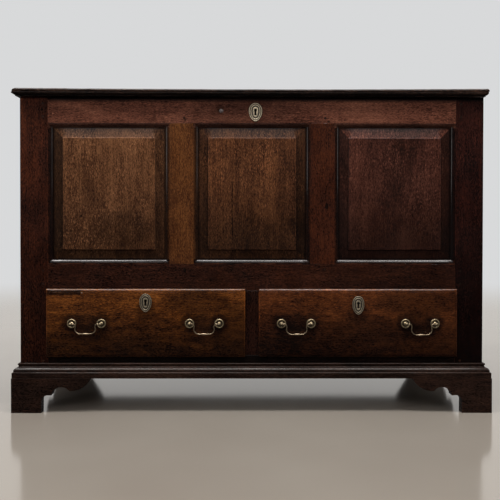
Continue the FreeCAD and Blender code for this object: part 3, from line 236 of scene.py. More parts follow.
# ------------------------------------------------------------------ oak
def make_figure():
    """The figure of quarter-sawn oak in a board's own space, with the grain along Z: a tone,
    the short bright ray flecks, the pores and the relief."""
    tree = bpy.data.node_groups.new("oak_figure", "ShaderNodeTree")
    tree.interface.new_socket("Place", in_out="INPUT", socket_type="NodeSocketVector")
    for name in ("Tone", "Fleck", "Pore", "Relief"):
        tree.interface.new_socket(name, in_out="OUTPUT", socket_type="NodeSocketFloat")
    g = Graph(tree)
    place = g.add("NodeGroupInput").outputs[0]
    out = g.add("NodeGroupOutput")

    sway = g.noise(place, (7, 7, 2.2), 2)
    shift = g.times(g.minus(sway, 0.5), 0.03)
    bent = g.vector("ADD", place, g.combine(shift, g.times(shift, 0.6), 0.0))
    rings = g.noise(bent, (120, 120, 2.6), 3, 0.65)
    streaks = g.noise(bent, (420, 420, 22), 3, 0.65)
    dashes = g.noise(bent, (520, 520, 150), 2.5, 0.7)
    fibre = g.noise(bent, (1500, 1500, 110), 2, 0.65)
    blotch = g.noise(place, (17, 17, 9), 4, 0.62, 0.8)
    large = g.noise(place, (3.4, 3.4, 2.2), 1.5)

    tone = 0.5
    for value, share in ((rings, 0.3), (streaks, 0.5), (dashes, 1.15), (fibre, 0.6), (blotch, 0.6),
                         (large, 0.6)):
        tone = g.times_plus(g.minus(value, 0.5), share, tone)
    patch = g.span(g.noise(place, (16, 16, 8), 2), 0.40, 0.64)
    ray = g.noise(bent, (430, 430, 130), 2.5, 0.65, 0.5)
    fleck = g.times(g.span(ray, 0.53, 0.68), g.times_plus(patch, 0.75, 0.25))
    pore = g.span(g.noise(bent, (1150, 1150, 190), 2), 0.55, 0.68)
    relief = g.times_plus(fibre, 0.6, g.times(streaks, 0.5))
    relief = g.minus(relief, g.times(pore, 0.5))
    for socket, value in zip(out.inputs, (tone, fleck, pore, relief)):
        g.feed(socket, value)
    return tree


FIGURE = make_figure()
GRAIN = {"x": (1, 2, 0), "y": (0, 2, 1), "z": (0, 1, 2)}    # which axes become the board's x, y, z
TONE_STOPS = (0.24, 0.5, 0.78)
RELIEF = 0.0003
COAT_IOR = 1.45
DRY = dict(dark=(62, 42, 28), mid=(104, 77, 54), light=(140, 110, 82))    # unpolished oak


def wood(g, tone, dark, mid, light):
    return g.ramp(tone, [(stop, srgb(*c)) for stop, c in zip(TONE_STOPS, (dark, mid, light))])


def board_place(g, axes, grain, seed, boards):
    """The place turned so that the grain runs along Z, and moved so that no two pieces, and no
    two boards of one, have the same figure."""
    own = [g.plus(axes[i], seed * pace) for i, pace in zip(GRAIN[grain], (1.37, 2.11, 0.73))]
    if boards:
        axis, start, pitch = boards
        index = g.math("DIVIDE", g.minus(axes["xyz".index(axis)], start), pitch)
        index = g.math("FLOOR", index)
        own = [g.times_plus(index, 0.77 + 0.31 * i, value) for i, value in enumerate(own)]
    return g.combine(*own)


# Painted shadow along a field's step, and a painted highlight where a share is over 1.
STEP_SHADE = (0.4, 0.7, 0.25, 1.7)      # the line along a field's step: left, right, bottom, top


def bevel_shade_tint(g, axes, colour, margin):
    """Painted shade and sheen on a fielded panel's bevels: each side is darkened, or lit up at the
    top, as light falls on it. margin = (field x0, x1, z0, z1, shares), shares being what each side
    keeps of the colour: left, right, bottom, top. A line along the field's step carries painted
    shadow, and a painted highlight at the top; towards the groove the bevels carry painted shade."""
    x0, x1, z0, z1, shares = margin
    past = [g.minus(x0, axes[0]), g.minus(axes[0], x1), g.minus(z0, axes[2]), g.minus(axes[2], z1)]
    across = g.largest(past[0], past[1])
    up = g.largest(past[2], past[3])
    for own, other, share, step in zip(past, (up, up, across, across), shares, STEP_SHADE):
        ahead = g.span(g.minus(own, other), -0.0004, 0.0004)
        on = g.times(ahead, g.span(own, -0.0003, 0.0005))
        colour = g.darken(colour, g.times_plus(on, share - 1.0, 1.0))
        line = g.times(on, g.span(own, 0.0030, 0.0018))
        colour = g.darken(colour, g.times_plus(line, step - 1.0, 1.0))
    groove_shade = g.span(g.largest(across, up), 0.0215, 0.0265, 1.0, 0.35)
    return g.darken(colour, groove_shade)


def recess_shade_tint(g, axes, facing, colour, face_y):
    """Painted shade on what lies behind face_y, in the frame's recesses, apart from the frame's
    outer sides.
    """
    shaded = g.darken(colour, g.span(axes[1], face_y + 0.0011, face_y + 0.0026, 1.0, 0.22))
    sideways = g.span(g.absolute(facing[0]), 0.80, 0.95)
    outside = g.times(sideways, g.span(g.absolute(axes[0]), *SIDE_X))
    return g.mix(outside, shaded, colour)


def spot_tint(g, place, axes, colour, spots, deep, bright):
    """Soft spots with ragged edges."""
    ragged = g.waver(place, 60, 1.2)
    for x, z, half_x, half_z, strength in spots:
        across = g.math("DIVIDE", g.minus(axes[0], x), half_x)
        up = g.math("DIVIDE", g.minus(axes[2], z), half_z)
        far = g.plus(g.times(across, across), g.times(up, up))
        near = g.span(g.plus(far, ragged), 1.25, 0.35, 0.0, abs(strength))
        colour = g.mix(near, colour, deep if strength > 0 else bright)
    return colour


def wear_and_highlight_tint(g, place, axes, colour, rubbed, level, bright):
    """Pale broken lines along an arris, apart from the faces that lie level: some are wear, some
    are painted highlights.
    """
    for z, half, strength in rubbed:
        off = g.absolute(g.minus(g.plus(axes[2], g.waver(place, 18, 0.003)), z))
        along = g.span(g.noise(place, (28, 28, 0.5), 3), 0.38, 0.60)
        along = g.times(along, g.minus(1.0, level))
        line = g.span(off, half, half * 0.3, 0.0, strength)
        colour = g.mix(g.times(line, along), colour, bright)
    return colour


def patch_tint(g, place, axes, colour, patches):
    """Patches with hard, slightly wavering edges."""
    wobble = g.waver(place, 35, 0.004)
    for x0, x1, z0, z1, share in patches:
        across = g.plus(axes[0], wobble)
        up = g.plus(axes[2], wobble)
        inside = g.smallest(g.smallest(g.minus(across, x0), g.minus(x1, across)),
                            g.smallest(g.minus(up, z0), g.minus(z1, up)))
        colour = g.darken(colour, g.span(inside, -0.0003, 0.0004, 1.0, share))
    return colour


def bare_mask(g, axes, facing, bare, bare_within):
    """1 on the faces that were never polished."""
    mask = 0.0
    for axis, sign in bare:
        mask = g.largest(mask, g.span(g.times(facing[axis], sign), 0.5, 0.7))
    if bare_within:
        half, behind = bare_within
        mask = g.times(mask, g.span(g.absolute(axes[0]), half, half - 0.002))
        mask = g.times(mask, g.span(axes[1], behind, behind + 0.002))
    return mask


def oak(name, grain, dark, mid, light, seed, rough=0.46, gloss=0.06, coat=0.8, shine=0.16,
        coat_relief=0.3, fleck=0.35, mottle=0.0, bands=0.0, boards=None, fade=(), low=None,
        margin=None, shade_behind=None, spots=(), rubbed=(), patches=(), bare=(), bare_within=None,
        edges=0.5, dull=(), vary=0.0, falls=None):
    """Old oak, with the grain along an axis, in three colours.

    rough and gloss are the wood's own; coat, shine and coat_relief are the polish: how much of
    it, how rough, and how much of the wood's relief shows in it.
    fleck, mottle and bands are the strength of ray flecks, clouds and long streaks.
    boards = (axis, start, pitch) gives each board its own figure.
    fade = (start z, end z, share of the colour left at the start), once or more in a row; it
    darkens towards the bottom, and at the top of the rail and stiles it is painted shadow under the
    lid.
    low = (low z, high z, share) is hard-edged painted shade under a height.
    margin is for a fielded panel: it gives the painted shade and sheen on its bevels. sunk = the y
    of a face behind which shade is painted into the frame's recesses.
    spots = [(x, z, half width, half height, strength)], in the plane of the front; a strength
    over 0 darkens and one under 0 bleaches.
    rubbed = [(z, half height, strength)], pale lines along arrises: some rubbed pale by hands, some
    painted highlights.
    patches = [(x0, x1, z0, z1, share of the colour)].
    bare = [(axis, sign)], the ways that unpolished faces look, and bare_within = (half x, y)
    keeps them to within half x of the middle and behind y.
    edges is how pale the arrises are rubbed.
    dull = [(z0, z1, share)] takes polish off from z0 on to z1 and past it; falls = (x0, x1,
    share) does so from x0 on to x1. vary is how unevenly the polish lies."""
    material, g, shader, place = new_material(name)
    axes = g.split(place)
    facing = g.split(g.add("ShaderNodeTexCoord").outputs["Normal"])
    level = g.span(g.absolute(facing[2]), 0.6, 0.85)
    own = board_place(g, axes, grain, seed, boards)
    figure = g.add("ShaderNodeGroup", node_tree=FIGURE)
    g.feed(figure.inputs[0], own)
    tone, flecks, pores, height = figure.outputs
    if mottle:
        clouds = g.noise(own, (30, 30, 17), 4, 0.65, 1.5)
        tone = g.times_plus(g.minus(clouds, 0.5), mottle, tone)
    if bands:
        streaks = g.noise(own, (48, 48, 1.4), 2.5, 0.6, 0.3)
        tone = g.times_plus(g.minus(streaks, 0.5), bands, tone)

    colour = wood(g, tone, dark, mid, light)
    bright = tuple(min(1.0, c * 1.7 + 0.006) for c in srgb(*light)[:3]) + (1.0,)
    colour = g.mix(g.times(flecks, fleck), colour, bright)
    deep = scale(srgb(*dark), 0.4)
    colour = g.mix(g.times(pores, 0.6), colour, deep)
    plain = colour
    for start, end, share in zip(fade[::3], fade[1::3], fade[2::3]):
        colour = g.darken(colour, g.span(axes[2], start, end, share, 1.0))
    # Painted shade under a height.
    if low:
        colour = g.darken(colour, g.span(axes[2], *low, 1.0))
    if margin:
        colour = bevel_shade_tint(g, axes, colour, margin)
    if shade_behind is not None:
        colour = recess_shade_tint(g, axes, facing, colour, shade_behind)
    colour = spot_tint(g, place, axes, colour, spots, deep, bright)
    colour = wear_and_highlight_tint(g, place, axes, colour, rubbed, level, bright)
    colour = patch_tint(g, place, axes, colour, patches)
    # The level top rim is kept out of the painted shade and shadow, at a darker plain colour.
    if fade or shade_behind is not None:
        rim = g.times(level, g.span(axes[2], *TOP_RIM_Z))
        colour = g.mix(rim, colour, g.darken(plain, 0.7))
    inner = bare_mask(g, axes, facing, bare, bare_within)
    if bare:
        dry = g.mix(g.times(pores, 0.5), wood(g, tone, **DRY), scale(srgb(*DRY["dark"]), 0.5))
        colour = g.mix(inner, colour, dry)
    worn_edge = g.add("ShaderNodeAttribute", attribute_name="wear").outputs["Fac"]
    rub = g.span(g.noise(place, (40, 40, 40), 3), 0.40, 0.62)
    colour = g.mix(g.times(g.times(worn_edge, rub), edges), colour, bright)
    g.feed(shader.inputs["Base Color"], colour)

    grain_rough = g.span(g.noise(place, (9, 9, 9), 3), 0.3, 0.7, rough - 0.05, rough + 0.1)
    g.feed(shader.inputs["Roughness"], g.times_plus(pores, 0.25, grain_rough))
    g.feed(shader.inputs["Normal"], g.bump(height, RELIEF))
    g.feed(shader.inputs["Coat Normal"], g.bump(height, RELIEF * coat_relief))
    shader.inputs["Specular IOR Level"].default_value = gloss
    kept = coat
    for near, far, share in dull:
        kept = g.times(kept, g.span(axes[2], near, far, 1.0, share))
    if bare and (vary or bare_within):
        kept = g.times(kept, g.minus(1.0, inner))
    if vary:
        moved = g.vector("ADD", place, (seed, seed, seed))
        thin = g.span(g.noise(moved, (13, 13, 13), 3), 0.40, 0.62)
        kept = g.times(kept, g.times_plus(thin, -vary, 1.0))
    if falls:
        near, far, share = falls
        kept = g.times(kept, g.span(axes[0], near, far, 1.0, share))
    g.feed(shader.inputs["Coat Weight"], kept)
    shader.inputs["Coat Roughness"].default_value = shine
    shader.inputs["Coat IOR"].default_value = COAT_IOR
    return material


# ------------------------------------------------------------------ metals
def brass(name, face_y, seed, tint, depth=(0.0007, 0.0018), hollow=(30, 22, 14), crown=None):
    """Aged brass: rubbed clean on what stands out from face_y, from one distance in depth to the
    other, and of the hollow colour behind that. crown = (distance from face_y, share of the
    colour past it)."""
    material, g, shader, place = new_material(name)
    axes = g.split(place)
    out = g.minus(face_y, axes[1])
    proud = g.span(out, *depth)
    moved = g.vector("ADD", place, (seed, seed * 0.7, seed * 1.9))
    stain = g.noise(moved, (210, 210, 210), 4, 0.65)
    grit = g.noise(moved, (1500, 1500, 1500), 2)
    clean = g.times(g.span(stain, 0.25, 0.52, 0.45, 1.0), g.times_plus(proud, 0.92, 0.08))
    metal = srgb(*tint)
    colour = g.mix(g.span(grit, 0.35, 0.65), scale(metal, 0.85), scale(metal, 1.25))
    if crown:
        start, share = crown
        colour = g.darken(colour, g.span(out, start - 0.001, start + 0.001, 1.0, share))
    g.feed(shader.inputs["Base Color"], g.mix(clean, srgb(*hollow), colour))
    g.feed(shader.inputs["Roughness"], g.span(clean, 0.0, 1.0, 0.6, 0.34))
    g.feed(shader.inputs["Normal"], g.bump(g.plus(stain, grit), 0.0001))
    shader.inputs["Metallic"].default_value = 0.7
    shader.inputs["Specular IOR Level"].default_value = 0.8
    return material


def iron(name, seed, tint, rough, metal=0.85):
    """Forged iron, pitted and lightly rusted."""
    material, g, shader, place = new_material(name)
    moved = g.vector("ADD", place, (seed, seed * 1.3, seed * 0.4))
    pits = g.noise(moved, (420, 420, 420), 4, 0.7)
    rust = g.span(g.noise(moved, (55, 55, 55), 3), 0.50, 0.68)
    base = srgb(*tint)
    colour = g.mix(g.span(pits, 0.35, 0.65), scale(base, 0.5), base)
    g.feed(shader.inputs["Base Color"], g.mix(g.times(rust, 0.6), colour, srgb(70, 40, 24)))
    g.feed(shader.inputs["Roughness"], g.span(pits, 0.3, 0.7, rough + 0.14, rough - 0.06))
    g.feed(shader.inputs["Normal"], g.bump(pits, 0.0003))
    shader.inputs["Metallic"].default_value = metal
    return material


# ------------------------------------------------------------------ meshes
WELD = 1e-6
FLAT_ANGLE = math.radians(0.4)      # faces that meet at less are one
ARRIS_ANGLE = math.radians(30)      # edges that turn outwards by more are rounded


def add_object(name, data):
    thing = bpy.data.objects.new(name, data)
    bpy.context.scene.collection.objects.link(thing)
    return thing


def finish_mesh(bm, name, body, material, nodes=(), smooth_angle=48.0):
    """Turn a bmesh into a piece that rides a body and stands for CAD nodes."""
    limit = math.radians(smooth_angle)
    for face in bm.faces:
        face.smooth = True
    for edge in bm.edges:
        edge.smooth = edge.is_manifold and edge.calc_face_angle(0.0) < limit
    mesh = bpy.data.meshes.new(name)
    bm.to_mesh(mesh)
    bm.free()
    piece = add_object(name, mesh)
    mesh.materials.append(material)
    weighted = piece.modifiers.new("flat_faces", "WEIGHTED_NORMAL")
    weighted.keep_sharp = True
    weighted.weight = 80
    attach(piece, body)
    if nodes:
        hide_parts(*nodes)


def body_of(node):
    return frame["nodes"][node]["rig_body"]


def slice_up(bm, axis, pitch):
    """Cut the mesh into lanes along one axis, so that its edges can waver."""
    places = [v.co[axis] for v in bm.verts]
    low, high = min(places), max(places)
    count = int((high - low) / pitch)
    normal = Vector([1.0 if i == axis else 0.0 for i in range(3)])
    for i in range(1, count):
        point = normal * (low + (high - low) * i / count)
        bmesh.ops.bisect_plane(bm, geom=bm.verts[:] + bm.edges[:] + bm.faces[:], dist=1e-7,
                               plane_co=point, plane_no=normal)


def worn_mesh(node, edge=0.0008, pitch=0.05, waver=0.0002, pace=25.0, axes=(0, 2)):
    """A copy of a CAD node's shape with its arrises rounded to `edge`, cut into lanes of `pitch`
    along `axes`, and rubbed out of true by up to `waver`, always inwards."""
    bm = bmesh.new()
    bm.from_mesh(frame["nodes"][node].data)
    bmesh.ops.remove_doubles(bm, verts=bm.verts, dist=WELD)
    bmesh.ops.dissolve_limit(bm, angle_limit=FLAT_ANGLE, verts=bm.verts, edges=bm.edges)
    arrises = [e for e in bm.edges
               if e.is_manifold and e.calc_face_angle_signed(0.0) > ARRIS_ANGLE
               and e.calc_length() > 2 * edge]
    wear = bm.loops.layers.float.new("wear")
    made = bmesh.ops.bevel(bm, geom=arrises, offset=edge, offset_type="OFFSET", segments=3,
                           profile=0.5, affect="EDGES", clamp_overlap=True)
    for face in made["faces"]:
        for loop in face.loops:
            loop[wear] = 1.0
    for axis in axes:
        slice_up(bm, axis, pitch)
    bm.normal_update()
    moves = []
    for vert in bm.verts:
        coarse, fine = noise.noise(vert.co * pace), noise.noise(vert.co * pace * 3.7)
        rub = 0.5 + 0.5 * coarse + 0.35 * fine
        moves.append(vert.normal * (-waver * min(1.0, max(0.0, rub))))
    low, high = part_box(node)
    for vert, move in zip(bm.verts, moves):
        vert.co = [min(max(a + b, l), h) for a, b, l, h in zip(vert.co, move, low, high)]
    bmesh.ops.triangulate(bm, faces=[f for f in bm.faces if len(f.verts) > 4])
    return bm


def worn(node, material, slot="oak_polished", **kind):
    finish_mesh(worn_mesh(node, **kind), node + "_worn", body_of(node), material, [node])


def lathe(bm, profile, centre, steps=48):
    """Turn (radius, distance out from the face) about an axis along -Y through `centre`."""
    x, y, z = centre
    rings = []
    for radius, out in profile:
        if radius < 1e-7:
            rings.append([bm.verts.new((x, y - out, z))])
            continue
        ring = []
        for i in range(steps):
            a = 2 * math.pi * i / steps
            place = (x + radius * math.cos(a), y - out, z + radius * math.sin(a))
            ring.append(bm.verts.new(place))
        rings.append(ring)
    for near, far in zip(rings, rings[1:]):
        for i in range(steps):
            j = (i + 1) % steps
            corners = [near[i % len(near)], near[j % len(near)], far[j % len(far)],
                       far[i % len(far)]]
            corners = [c for k, c in enumerate(corners) if c is not corners[k - 1]]
            if len(corners) > 2:
                bm.faces.new(corners)


def catmull(points, steps):
    """Points on a smooth line through the given ones (tuples of any length)."""
    found = []
    ends = [points[0]] + list(points) + [points[-1]]
    for a, b, c, d in zip(ends, ends[1:], ends[2:], ends[3:]):
        for i in range(steps):
            t = i / steps
            found.append(tuple(0.5 * (2 * q + (r - p) * t + (2 * p - 5 * q + 4 * r - s) * t * t
                                      + (3 * q - p - 3 * r + s) * t ** 3)
                               for p, q, r, s in zip(a, b, c, d)))
    found.append(tuple(points[-1]))
    return found


def sweep(bm, path, steps=18):
    """A rod through (x, z, radius) points in the plane of the handles, closed at both ends."""
    rings = []
    last = len(path) - 1
    depth = Vector((0, 1, 0))
    for i, (x, z, radius) in enumerate(path):
        ahead, behind = path[min(i + 1, last)], path[max(i - 1, 0)]
        along = Vector((ahead[0] - behind[0], 0.0, ahead[1] - behind[1])).normalized()
        side = Vector((-along.z, 0.0, along.x))
        centre = Vector((x, BALL_Y, z))
        rings.append([bm.verts.new(centre + radius * (side * math.cos(a) + depth * math.sin(a)))
                      for a in (2 * math.pi * k / steps for k in range(steps))])
    for near, far in zip(rings, rings[1:]):
        for k in range(steps):
            bm.faces.new((near[k], near[(k + 1) % steps], far[(k + 1) % steps], far[k]))
    bm.faces.new(rings[0][::-1])
    bm.faces.new(rings[-1])
    bmesh.ops.recalc_face_normals(bm, faces=bm.faces)


# ------------------------------------------------------------------ oak pieces
BACKWARDS = [(1, 1)]
DOWNWARDS = [(2, -1)]
# The frame pieces get painted shade in their recesses behind the face.
FRAME = dict(shade_behind=FACE_Y, coat=1.0, shine=0.11, coat_relief=0.12, edges=0.8, vary=0.35)
DARK_FRAME = dict(coat=0.95, shine=0.105, coat_relief=0.03, vary=0.35)
PANEL = dict(grain="z", coat=0.5, edges=0.25)
DRAWER = dict(grain="x", mottle=0.6, dull=[(0.3325, 0.3335, 0.72)])
MOULDING = dict(DARK_FRAME, dark=(12, 6, 4), mid=(29, 17, 12), light=(60, 40, 31), edges=0.25,
                dull=[(0.1211, 0.1220, 0.1), (0.1200, 0.1184, 0.4), (0.1122, 0.1108, 0.3)])
FOOT = dict(grain="x", dark=(13, 6, 4), mid=(33, 19, 13), light=(62, 40, 30),
            dull=[(0.088, 0.092, 0.1)])
PALE_FOOT = dict(FOOT, mid=(39, 24, 18))
SIDE = dict(dark=(20, 9, 6), mid=(46, 23, 13), light=(80, 47, 30))
DRY_OAK = dict(rough=0.62, gloss=0.2, **DRY)
PEG = dict(dark=(14, 7, 5), mid=(36, 19, 13), light=(60, 36, 26))
# Painted shade and sheen: what each bevel of a front panel keeps of its colour as light falls on
# it, left, right, bottom, top; a share over 1 is a painted sheen.
BEVEL_SHADE = {"left": (0.30, 0.62, 0.50, 0.80), "middle": (0.50, 0.45, 0.90, 0.78),
          "right": (0.54, 0.40, 0.62, 1.6)}


def halos(word):
    """Darker wood round each rose and bail, and below the escutcheon."""
    key_x, key_z = KEYHOLES[word]
    found = [(key_x, key_z - 0.022, 0.030, 0.030, 0.5)]
    for centre in HANDLES[word].values():
        found.append((centre, 0.2150, 0.056, 0.024, 0.55))
        found.append((centre, 0.2470, 0.034, 0.028, 0.55))
        found.extend((centre + side * POST_HALF, 0.2440, 0.028, 0.028, 0.65) for side in (-1, 1))
    return found


def panel_margin(word):
    x0, x1 = PANELS[word]
    return (x0 + MARGIN, x1 - MARGIN, PANEL_LOW + MARGIN, PANEL_HIGH - MARGIN, BEVEL_SHADE[word])


RAILS = {
    # The top rail's fade is painted shadow under the lid.
    "front_top_rail": dict(
        FRAME, grain="x", seed=1, dark=(40, 16, 9), mid=(93, 52, 38), light=(128, 82, 62),
        fleck=0.4, edges=0.3, rubbed=[(0.7920, 0.0012, 0.05)], fade=(0.8575, 0.8440, 0.02),
        spots=[(-0.183, 0.801, 0.004, 0.004, 0.8), (0.063, 0.810, 0.003, 0.004, 0.7),
               (0.210, 0.796, 0.004, 0.004, 0.8), (-0.545, 0.817, 0.0022, 0.0022, -0.6),
               (-0.02, 0.825, 0.16, 0.06, 0.38), (-0.0875, 0.8295, 0.012, 0.014, 0.5)]),
    # The middle rail's pale line is a painted highlight on the arris below the panels' ovolo.
    "front_middle_rail": dict(
        FRAME, grain="x", seed=2, dark=(14, 4, 2), mid=(42, 17, 8), light=(74, 38, 22),
        rubbed=[(0.4055, 0.0017, 0.6)], falls=(-0.26, -0.12, 0.80),
        spots=[(-0.184, 0.384, 0.004, 0.004, 0.8), (0.4, 0.36, 0.2, 0.05, 0.25)]),
    # The bottom rail's near-black colour is partly its own dark tone and partly painted shade for
    # the shade under the drawers.
    "front_bottom_rail": dict(
        DARK_FRAME, grain="x", seed=3, dark=(5, 2, 1), mid=(11, 4, 2), light=(28, 13, 8),
        edges=0.1, dull=[(0.1495, 0.1515, 0.08)]),
}
UPRIGHTS = {
    # Each stile darkens towards the bottom; its top fade is painted shadow under the lid.
    "front_stile_left": dict(
        FRAME, grain="z", seed=4, dark=(20, 6, 3), mid=(52, 21, 10), light=(92, 45, 24),
        fade=(0.1, 0.8, 0.46, 0.8615, 0.8560, 0.1), spots=[(-0.575, 0.827, 0.004, 0.004, 0.8)]),
    "front_stile_right": dict(
        FRAME, grain="z", seed=5, dark=(13, 3, 2), mid=(38, 13, 8), light=(66, 28, 18),
        fade=(0.1, 0.8, 0.18, 0.8580, 0.8450, 0.05)),
    "muntin_left": dict(
        FRAME, grain="z", seed=6, dark=(36, 16, 6), mid=(70, 36, 14), light=(106, 64, 31)),
    "muntin_right": dict(
        FRAME, grain="z", seed=7, dark=(22, 7, 3), mid=(50, 19, 7), light=(82, 39, 18),
        spots=[(0.205, 0.564, 0.006, 0.009, 0.8)]),
    "drawer_divider": dict(
        DARK_FRAME, grain="z", seed=8, dark=(9, 3, 1), mid=(25, 8, 4), light=(48, 22, 12)),
}
FRONT_PANELS = {
    "left": dict(
        PANEL, seed=9, dark=(36, 17, 9), mid=(72, 42, 23), light=(119, 79, 50),
        fleck=0.8, bands=0.38, fade=(0.44, 0.66, 0.72),
        spots=[(-0.469, 0.537, 0.0035, 0.0035, 0.9), (-0.497, 0.495, 0.005, 0.005, 0.6),
               (-0.355, 0.50, 0.08, 0.06, 0.35)]),
    "middle": dict(
        PANEL, seed=10, dark=(32, 14, 6), mid=(76, 43, 24), light=(120, 75, 44),
        fleck=0.75, bands=0.34, fade=(0.44, 0.70, 0.34),
        patches=[(-0.0562, -0.0534, 0.485, 0.632, 0.15), (-0.0552, -0.0540, 0.455, 0.495, 0.3),
                 (-0.1130, -0.1095, 0.470, 0.742, 1.4), (-0.0990, -0.0955, 0.455, 0.742, 1.5),
                 (-0.0850, -0.0825, 0.500, 0.745, 1.3)]),
    "right": dict(
        PANEL, seed=11, dark=(26, 10, 6), mid=(61, 30, 22), light=(94, 54, 40),
        fleck=0.7, bands=0.2, fade=(0.44, 0.70, 0.32)),
}
# The patches with a share over 1 along each drawer front's side edges are painted highlights on its
# arrises.
DRAWER_FRONTS = {
    "left": dict(
        DRAWER, seed=12, dark=(30, 11, 3), mid=(80, 40, 11), light=(132, 76, 28),
        fade=(0.155, 0.315, 0.30),
        spots=halos("left") + [(-0.15, 0.300, 0.10, 0.04, 0.45), (-0.055, 0.225, 0.065, 0.09, 0.5),
                               (-0.35, 0.185, 0.16, 0.03, 0.3)],
        patches=[(-0.560, -0.4690, 0.3212, 0.3338, 0.2), (-0.5635, -0.5618, 0.160, 0.320, 2.0),
                 (-0.0205, -0.0188, 0.160, 0.330, 2.4)]),
    "right": dict(
        DRAWER, seed=13, dark=(24, 8, 3), mid=(69, 32, 11), light=(112, 60, 26),
        fade=(0.155, 0.32, 0.24),
        spots=halos("right") + [(0.33, 0.225, 0.16, 0.04, 0.4), (0.46, 0.300, 0.13, 0.04, 0.45)],
        patches=[(0.540, 0.562, 0.3265, 0.3272, 0.2), (0.546, 0.564, 0.3195, 0.3201, 0.25),
                 (0.202, 0.235, 0.3325, 0.3370, 1.8), (0.0188, 0.0205, 0.160, 0.330, 2.2),
                 (0.5618, 0.5635, 0.160, 0.330, 1.8)]),
}
# The lid's low part is painted shade in the cove under the nosing. Of its pale lines, the upper one
# is a painted highlight along the nosing's top; the lower one runs along the nosing's foot.
LID = dict(
    grain="x", seed=14, dark=(8, 5, 4), mid=(28, 17, 13), light=(86, 60, 47), fleck=0.5,
    coat=0.5, shine=0.2, edges=1.0, boards=("y", cad_low.y, BOARD_PITCH),
    low=(0.8665, 0.8735, 0.15), rubbed=[(0.8752, 0.0010, 0.3), (0.8826, 0.0012, 0.15)],
    bare=DOWNWARDS, bare_within=(BOX_X, FACE_Y + 0.002))


def build_front():
    for kinds, axis in ((RAILS, 0), (UPRIGHTS, 2)):
        for name, kind in kinds.items():
            worn(name, oak("oak_" + name, bare=BACKWARDS, **kind), edge=0.0011, pitch=0.03,
                 waver=0.0003, axes=(axis,))
    for word, kind in FRONT_PANELS.items():
        name = "front_panel_" + word
        worn(name, oak("oak_" + name, bare=BACKWARDS, margin=panel_margin(word), **kind),
             edge=0.0012, pitch=0.04, waver=0.0002)


def build_drawers():
    for word, kind in DRAWER_FRONTS.items():
        name = "drawer_front_" + word
        worn(name, oak("oak_" + name, bare=BACKWARDS, **kind), edge=0.0009, pitch=0.02,
             waver=0.0004)


LID_HOLLOW, LID_HOLLOW_WIDTH = 0.0028, 0.30
LID_END_WEAR = {1: 0.0085, -1: 0.0035}      # how far the left and the right end are worn in
END_REACH, END_DEPTH = 0.020, 0.012
COVE_Z, COVE_HALF = 0.8712, 0.0055


def build_lid():
    """The lid's boards, a little hollow along the front, with ends worn uneven."""
    bm = worn_mesh("lid_boards", edge=0.0015, pitch=0.012, waver=0.0008, pace=45.0, axes=(0, 1))
    low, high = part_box("lid_boards")
    middle, half = (low.x + high.x) / 2, (high.x - low.x) / 2
    for vert in bm.verts:
        rise = (vert.co.z - low.z) / (high.z - low.z)
        front = min(1.0, max(0.0, 1 - (vert.co.y - low.y) / LID_HOLLOW_WIDTH))
        vert.co.z -= LID_HOLLOW * rise * front * (1 - ((vert.co.x - middle) / half) ** 2)
        for inwards, wear in LID_END_WEAR.items():
            end = low.x if inwards > 0 else high.x
            near = 1 - abs(vert.co.x - end) / END_REACH
            top = 1 - (high.z - vert.co.z) / END_DEPTH
            if near > 0 and top > 0:
                vert.co.x += inwards * wear * near * top ** 1.6
            cove = 1 - abs(vert.co.z - COVE_Z) / COVE_HALF
            if near > 0 and cove > 0:
                reach = vert.co.x - inwards * 0.6 * wear * near * cove
                vert.co.x = max(low.x, min(high.x, reach))
    finish_mesh(bm, "lid_boards_worn", "lid", oak("oak_lid_boards", **LID),
                ["lid_boards"])


NAIL_PLACE = (-0.0845, FACE_Y, 0.8245)
NAIL_HALF = (0.0058, 0.0054)
NAIL_FLAT = (0.0030, 0.0028)        # the four-cornered top of the head
NAIL_ROOT_Y = FACE_Y + 0.002
PIN_PLACE = (-0.4650, DRAWER_FACE_Y, 0.3262)
PIN = [(0.0, -0.003), (0.0016, -0.003), (0.0016, 0.0), (0.0013, 0.0004), (0.0, 0.0006)]


def build_nails():
    """A rosehead nail in the top rail, and a small bright one at a repair in the left drawer."""
    head = bmesh.new()
    place = Vector(NAIL_PLACE)
    rim = []
    for i in range(12):
        a = i * math.pi / 6
        across = NAIL_HALF[0] * (1 + 0.09 * math.sin(i * 2.3)) * math.cos(a)
        up = NAIL_HALF[1] * (1 + 0.08 * math.cos(i * 1.7)) * math.sin(a)
        rim.append(head.verts.new(place + Vector((across, -0.0004, up))))
    foot = [head.verts.new((v.co.x, NAIL_ROOT_Y, v.co.z)) for v in rim]
    crown = []
    for i in range(4):
        a = i * math.pi / 2 + 0.4
        corner = Vector((NAIL_FLAT[0] * math.cos(a), -0.0017, NAIL_FLAT[1] * math.sin(a)))
        crown.append(head.verts.new(place + corner))
    top = head.verts.new(place + Vector((0.0002, -0.0024, 0.0001)))
    for i in range(12):
        j = (i + 1) % 12
        head.faces.new((rim[i], rim[j], foot[j], foot[i]))
        a, b = crown[((i - 1) // 3) % 4], crown[(i // 3) % 4]
        head.faces.new((rim[i], a, rim[j]) if a is b else (rim[i], a, b, rim[j]))
    for i in range(4):
        head.faces.new((crown[i], top, crown[(i + 1) % 4]))
    head.faces.new(foot)
    bmesh.ops.recalc_face_normals(head, faces=head.faces)
    finish_mesh(head, "top_rail_nail", "carcase",
                iron("iron_nail", 4.0, (104, 94, 92), 0.6, 0.3), smooth_angle=20)
    pin = bmesh.new()
    lathe(pin, PIN, PIN_PLACE, 20)
    bmesh.ops.recalc_face_normals(pin, faces=pin.faces)
    finish_mesh(pin, "drawer_left_pin", "drawer_left",
                iron("iron_pin", 5.0, (150, 142, 130), 0.4))


